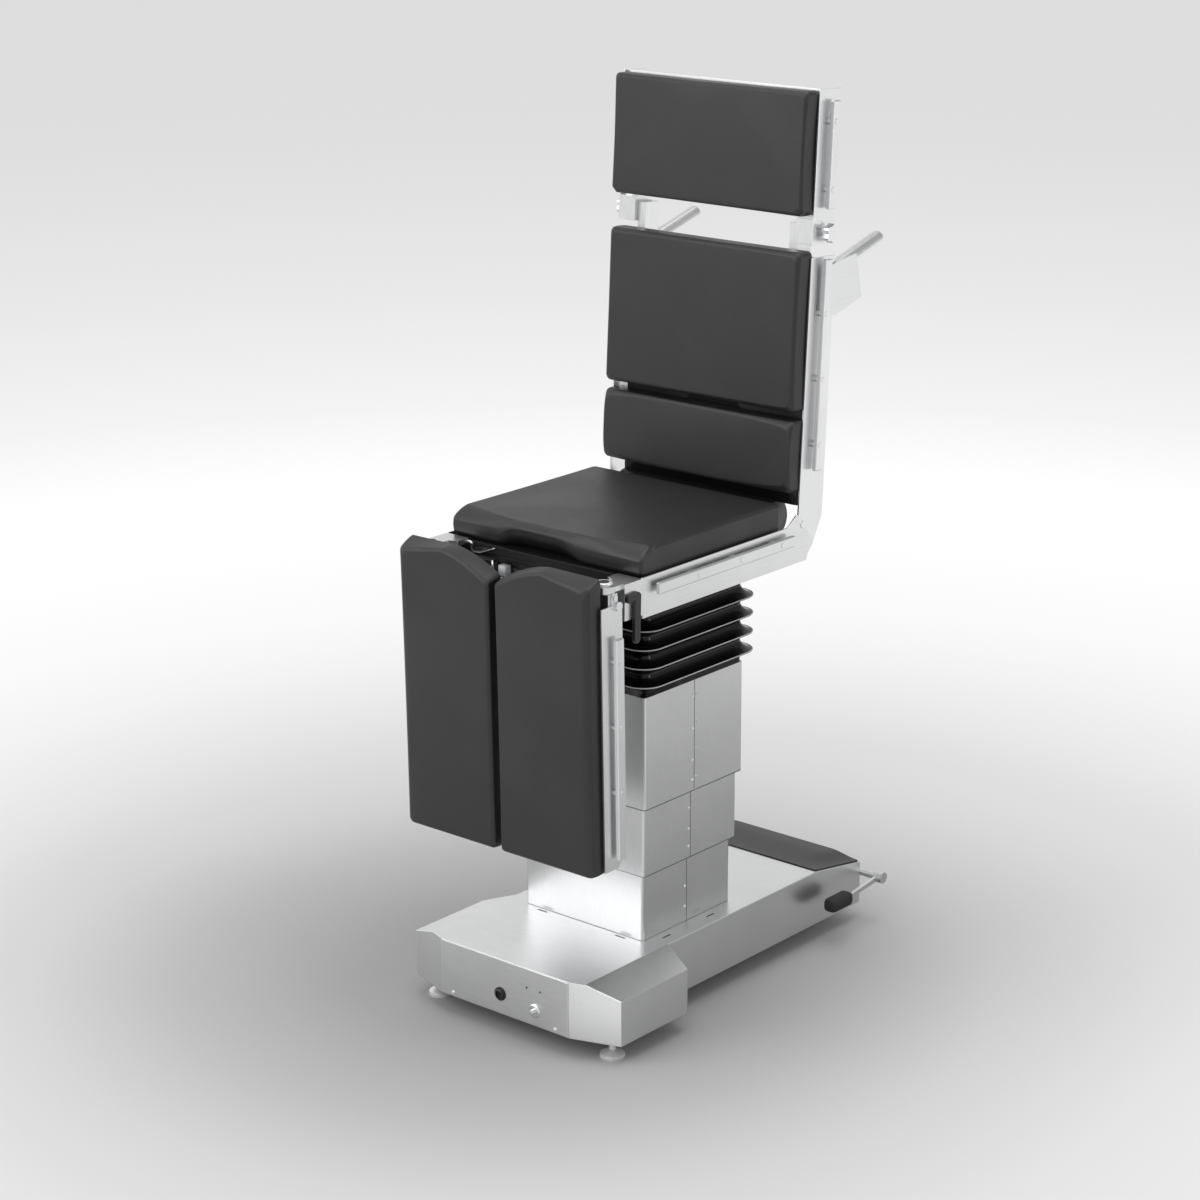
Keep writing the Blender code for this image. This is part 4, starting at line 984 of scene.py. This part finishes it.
BENT = [(-0.2560, 1.0560), (-0.2060, 1.0568), (-0.2025, 1.0540), (-0.2010, 1.0400),
        (-0.1970, 1.0360), (-0.1780, 1.0368), (-0.1700, 1.0400), (-0.1360, 1.0530)]
edges = [ribbon(BENT[::-1], -0.374, -0.3535, 0.0022)]
many("seat_corner_edges", edges, SCREW_STEEL, "seat")
blocks = [bar((x - 0.010, -0.3730, 0.9950), (x + 0.010, APRON_FRONT, 1.0180), 0.0015)
          for x in (-0.1150, 0.1150)]
many("stop_blocks", blocks, CREAM_PLASTIC, "seat")
tabs = [bar((x - 0.0025, -0.3700, 0.9900), (x + 0.0025, APRON_FRONT, 1.0240), 0.001)
        for x in (-0.1450, 0.1450)]
many("stop_tabs", tabs, POLISHED, "seat")

RING = [(-0.0010, 0.0185), (0.0052, 0.0185), (0.0064, 0.0173), (0.0064, 0.0030)]
RING_HOLE = [(0.0055, 0.0118), (0.0067, 0.0118), (0.0068, 0.0112), (0.0068, 0.0010)]
ON_SOCKETS = [(x, -0.4560, 1.0640) for x in (-0.2445, 0.2445)]
rings = [spun(RING, "+Z", place) for place in ON_SOCKETS]
many("socket_rings", rings, SCREW_STEEL, "seat")
holes = [spun(RING_HOLE, "+Z", place) for place in ON_SOCKETS]
many("socket_ring_holes", holes, DARK_GAP, "seat")

PANEL_FACE = float(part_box("front_panel")[0][1]) + 0.0003
panel_screws = [spun(button(0.0040, 0.0012), "-Y", (x, PANEL_FACE, 0.056)) for x in (-0.150, 0.150)]
many("front_panel_screws", panel_screws, SCREW_STEEL, "base")
SOCKET_MOUTH = [(-0.0004, 0.0158), (0.0006, 0.0158), (0.0009, 0.0150), (0.0009, 0.0020)]
dots = [spun(button(0.0022, 0.0003), "-Y", (x, PANEL_FACE, 0.131)) for x in (0.069, 0.108)]
dots.append(spun(SOCKET_MOUTH, "-Y", (-0.009, PANEL_FACE, 0.0936)))
many("front_panel_dark_holes", dots, DARK_GAP, "base")
print("small parts", 8)

# %% [markdown]
# The studio comes last. The floor is one big pale disc. What the camera sees of it rises from a
# light grey under the table, a painted shadow centred a little to the left, to white a few metres
# away, a painted band of light, and falls to a pale grey far off, which is the backdrop. What the
# steel mirrors of it is set apart: painted shade makes it darker near and just behind the table,
# a painted bright band lies about two metres behind, and a painted light patch lies in front on
# the right, for the corner of the base to mirror as a painted reflection.

# %% Floor
FLOOR_R = 70.0
# Centre of the painted shadow round the table.
PAINTED_SHADOW_AT = (-0.22, -0.24, 0.0)
# Centre of the painted light patch that the base's corner mirrors as a painted reflection.
PAINTED_LIGHT_PATCH_AT = (0.50, -1.00, 0.0)
BACKDROP = 0.72
# Tones for mirrored rays near the table: painted shade that lightens with distance.
MIRRORED_PAINTED_SHADE = [(0.0, 0.30), (0.8, 0.40), (1.5, 0.62), (2.4, 0.90), (3.4, 0.90), (20.0, 0.80)]
# Tones for mirrored rays further off: painted light a few metres out, then grey.
MIRRORED_PAINTED_LIGHT = [(0.0, 0.5), (1.5, 0.75), (2.4, 1.0), (3.2, 0.95), (4.4, 0.66), (9.0, 0.55), (30.0, 0.55)]
# Tones the camera sees near the table: a painted shadow that lightens with distance.
PAINTED_SHADOW_TONES = [(0.0, 0.38), (0.35, 0.40), (0.75, 0.50), (1.10, 0.65), (1.5, 0.76), (2.4, 0.92),
         (20.0, 0.80)]
# Tones the camera sees far off: a painted band of white light, then the backdrop grey.
FAR = [(0.0, 0.63), (1.5, 0.66), (1.8, 0.83), (2.3, 0.90), (2.9, 0.965), (3.6, 1.0), (4.6, 1.0),
       (5.7, 0.90), (7.8, 0.82), (10.6, 0.765), (14.2, 0.73), (30.0, BACKDROP)]


def ramp_levels(finish, distance, stops, reach):
    """Grey level by distance, from (metres, level) stops."""
    inputs = {0: distance / reach}
    settings = {"stops": [(metres / reach, level) for metres, level in stops]}
    return finish.node("ShaderNodeValToRGB", settings, inputs)


def make_floor():
    floor = Finish("studio floor")
    here = floor.node("ShaderNodeTexCoord", out=3)

    def away_from(place):
        inputs = {0: here, 1: place}
        return floor.node("ShaderNodeVectorMath", {"operation": "DISTANCE"}, inputs, out=1)

    apart = floor.node("ShaderNodeVectorMath", {"operation": "LENGTH"}, {0: here}, out=1)
    camera_ray = floor.node("ShaderNodeLightPath", out=0)
    rays = camera_ray.socket.node.outputs
    glossy_ray = Value(floor, rays["Is Glossy Ray"])
    clear_ray = Value(floor, rays["Is Transmission Ray"])
    shown = camera_ray + glossy_ray + clear_ray
    depth = floor.node("ShaderNodeSeparateXYZ", {}, {0: here}, out=1)
    # Painted shade for mirrored rays behind the table.
    painted_shade_behind = depth.within(0.2, 1.2) * 0.38
    dim = floor.mix(painted_shade_behind, ramp_levels(floor, apart, MIRRORED_PAINTED_SHADE, 20.0), grey(0.12))
    # Painted light patch in front on the right, for the base's corner to mirror.
    mirrored_near = floor.mix(away_from(PAINTED_LIGHT_PATCH_AT).within(0.20, 0.62), grey(0.98), dim)
    # What the camera sees near the table: a painted shadow.
    seen_painted_shadow = ramp_levels(floor, away_from(PAINTED_SHADOW_AT), PAINTED_SHADOW_TONES, 20.0)
    tone = floor.mix(camera_ray, mirrored_near, seen_painted_shadow)
    matt = floor.node("ShaderNodeBsdfDiffuse", {}, {"Color": tone})
    dim = floor.mix(painted_shade_behind, ramp_levels(floor, apart, MIRRORED_PAINTED_LIGHT, 30.0), grey(0.12))
    # A painted bright band about two metres behind the table, for mirrored rays.
    mirrored_far = floor.mix(depth.within(1.8, 2.7), dim, grey(1.05))
    # What the camera sees far off: a painted band of white light, then the backdrop grey.
    colour = floor.mix(camera_ray, mirrored_far, ramp_levels(floor, apart, FAR, 30.0))
    glow = floor.node("ShaderNodeEmission", {}, {"Color": colour})
    blend = apart.within(1.3, 2.6) * shown.within(0.0, 0.5)
    both = floor.node("ShaderNodeMixShader", {}, {0: blend, 1: matt, 2: glow})
    finish = floor.close(both)
    angle = np.linspace(0, 2 * np.pi, 128, endpoint=False)
    radii = np.array([0.5, 2.0, 8.0, FLOOR_R])[:, None]
    flat = np.zeros((len(radii), len(angle)))
    rings = np.stack([radii * np.cos(angle), radii * np.sin(angle), flat], -1)[::-1]
    ground = ring_mesh("floor", rings, finish, cap_low=False)


make_floor()
print("floor radius", FLOOR_R)

# %% [markdown]
# The world is a soft white tent, brighter from the front left and dimmer overhead, so
# that the two sides of the column differ as they do on a real set. The camera sees it in the
# floor's far grey. Three wide area lamps at a plain level add the soft shadow under the base
# and the lights along the bevels.

# %% World and lamps
BRIGHT_SIDE = (-0.72, -0.60, 0.35)


def make_world():
    world = Finish("soft studio world", world=True)
    way = world.node("ShaderNodeTexCoord", out=0)
    height = world.node("ShaderNodeSeparateXYZ", {}, {0: way}, out=2)
    inputs = {0: way, 1: BRIGHT_SIDE}
    facing = world.node("ShaderNodeVectorMath", {"operation": "DOT_PRODUCT"}, inputs, out=1)
    side = world.mix(facing.within(-0.8, 0.8), grey(0.42), grey(1.0))
    band = world.mix(height.within(0.40, 0.95), grey(1.0), grey(0.62))
    colour = world.node("ShaderNodeMix", {"data_type": "RGBA", "blend_type": "MULTIPLY"},
                        {0: 1.0, 6: side, 7: band}, out=2)
    camera_ray = world.node("ShaderNodeLightPath", out=0)
    seen = world.mix(camera_ray, colour, grey(BACKDROP))
    glow = world.node("ShaderNodeBackground", {}, {"Color": seen, "Strength": 1.0})
    bpy.context.scene.world = world.close(glow)


def lamp(name, place, aim, size, watts):
    light = bpy.data.lights.new(name, "AREA")
    light.shape = "RECTANGLE"
    light.size, light.size_y = size
    light.energy = watts
    made = bpy.data.objects.new(name, light)
    made.location = place
    made.rotation_euler = (Vector(aim) - Vector(place)).to_track_quat("-Z", "Y").to_euler()
    bpy.context.scene.collection.objects.link(made)


make_world()
lamp("key lamp", (-2.2, -4.2, 3.6), (0, 0, 0.9), (3.4, 3.4), 78)
lamp("top lamp", (0.4, -0.2, 4.4), (0, 0, 0.8), (3.0, 3.0), 60)
lamp("side lamp", (4.2, 1.2, 2.2), (0, 0, 0.9), (1.2, 2.6), 30)
print("lamps", 3)

# %% [markdown]
# The camera stands to the right of the table's front and looks down a little, with a long
# lens. Its place was worked out from the lines of the base, the rails and the column.

# %% Camera
def make_camera():
    lens = bpy.data.cameras.new("camera")
    lens.sensor_width = 36.0
    lens.lens = 90.36
    lens.clip_end = 200.0
    made = bpy.data.objects.new("camera", lens)
    azimuth, elevation, roll = (math.radians(v) for v in (40.43, 17.03, -0.23))
    made.location = (4.0834, -4.97404, 2.8471)
    turn = Matrix.Rotation(azimuth, 4, "Z") @ Matrix.Rotation(math.pi / 2 - elevation, 4, "X")
    made.rotation_euler = (turn @ Matrix.Rotation(roll, 4, "Z")).to_euler()
    bpy.context.scene.collection.objects.link(made)
    bpy.context.scene.camera = made


make_camera()
bpy.context.scene.view_settings.view_transform = "Standard"
print("camera", tuple(bpy.context.scene.camera.location))
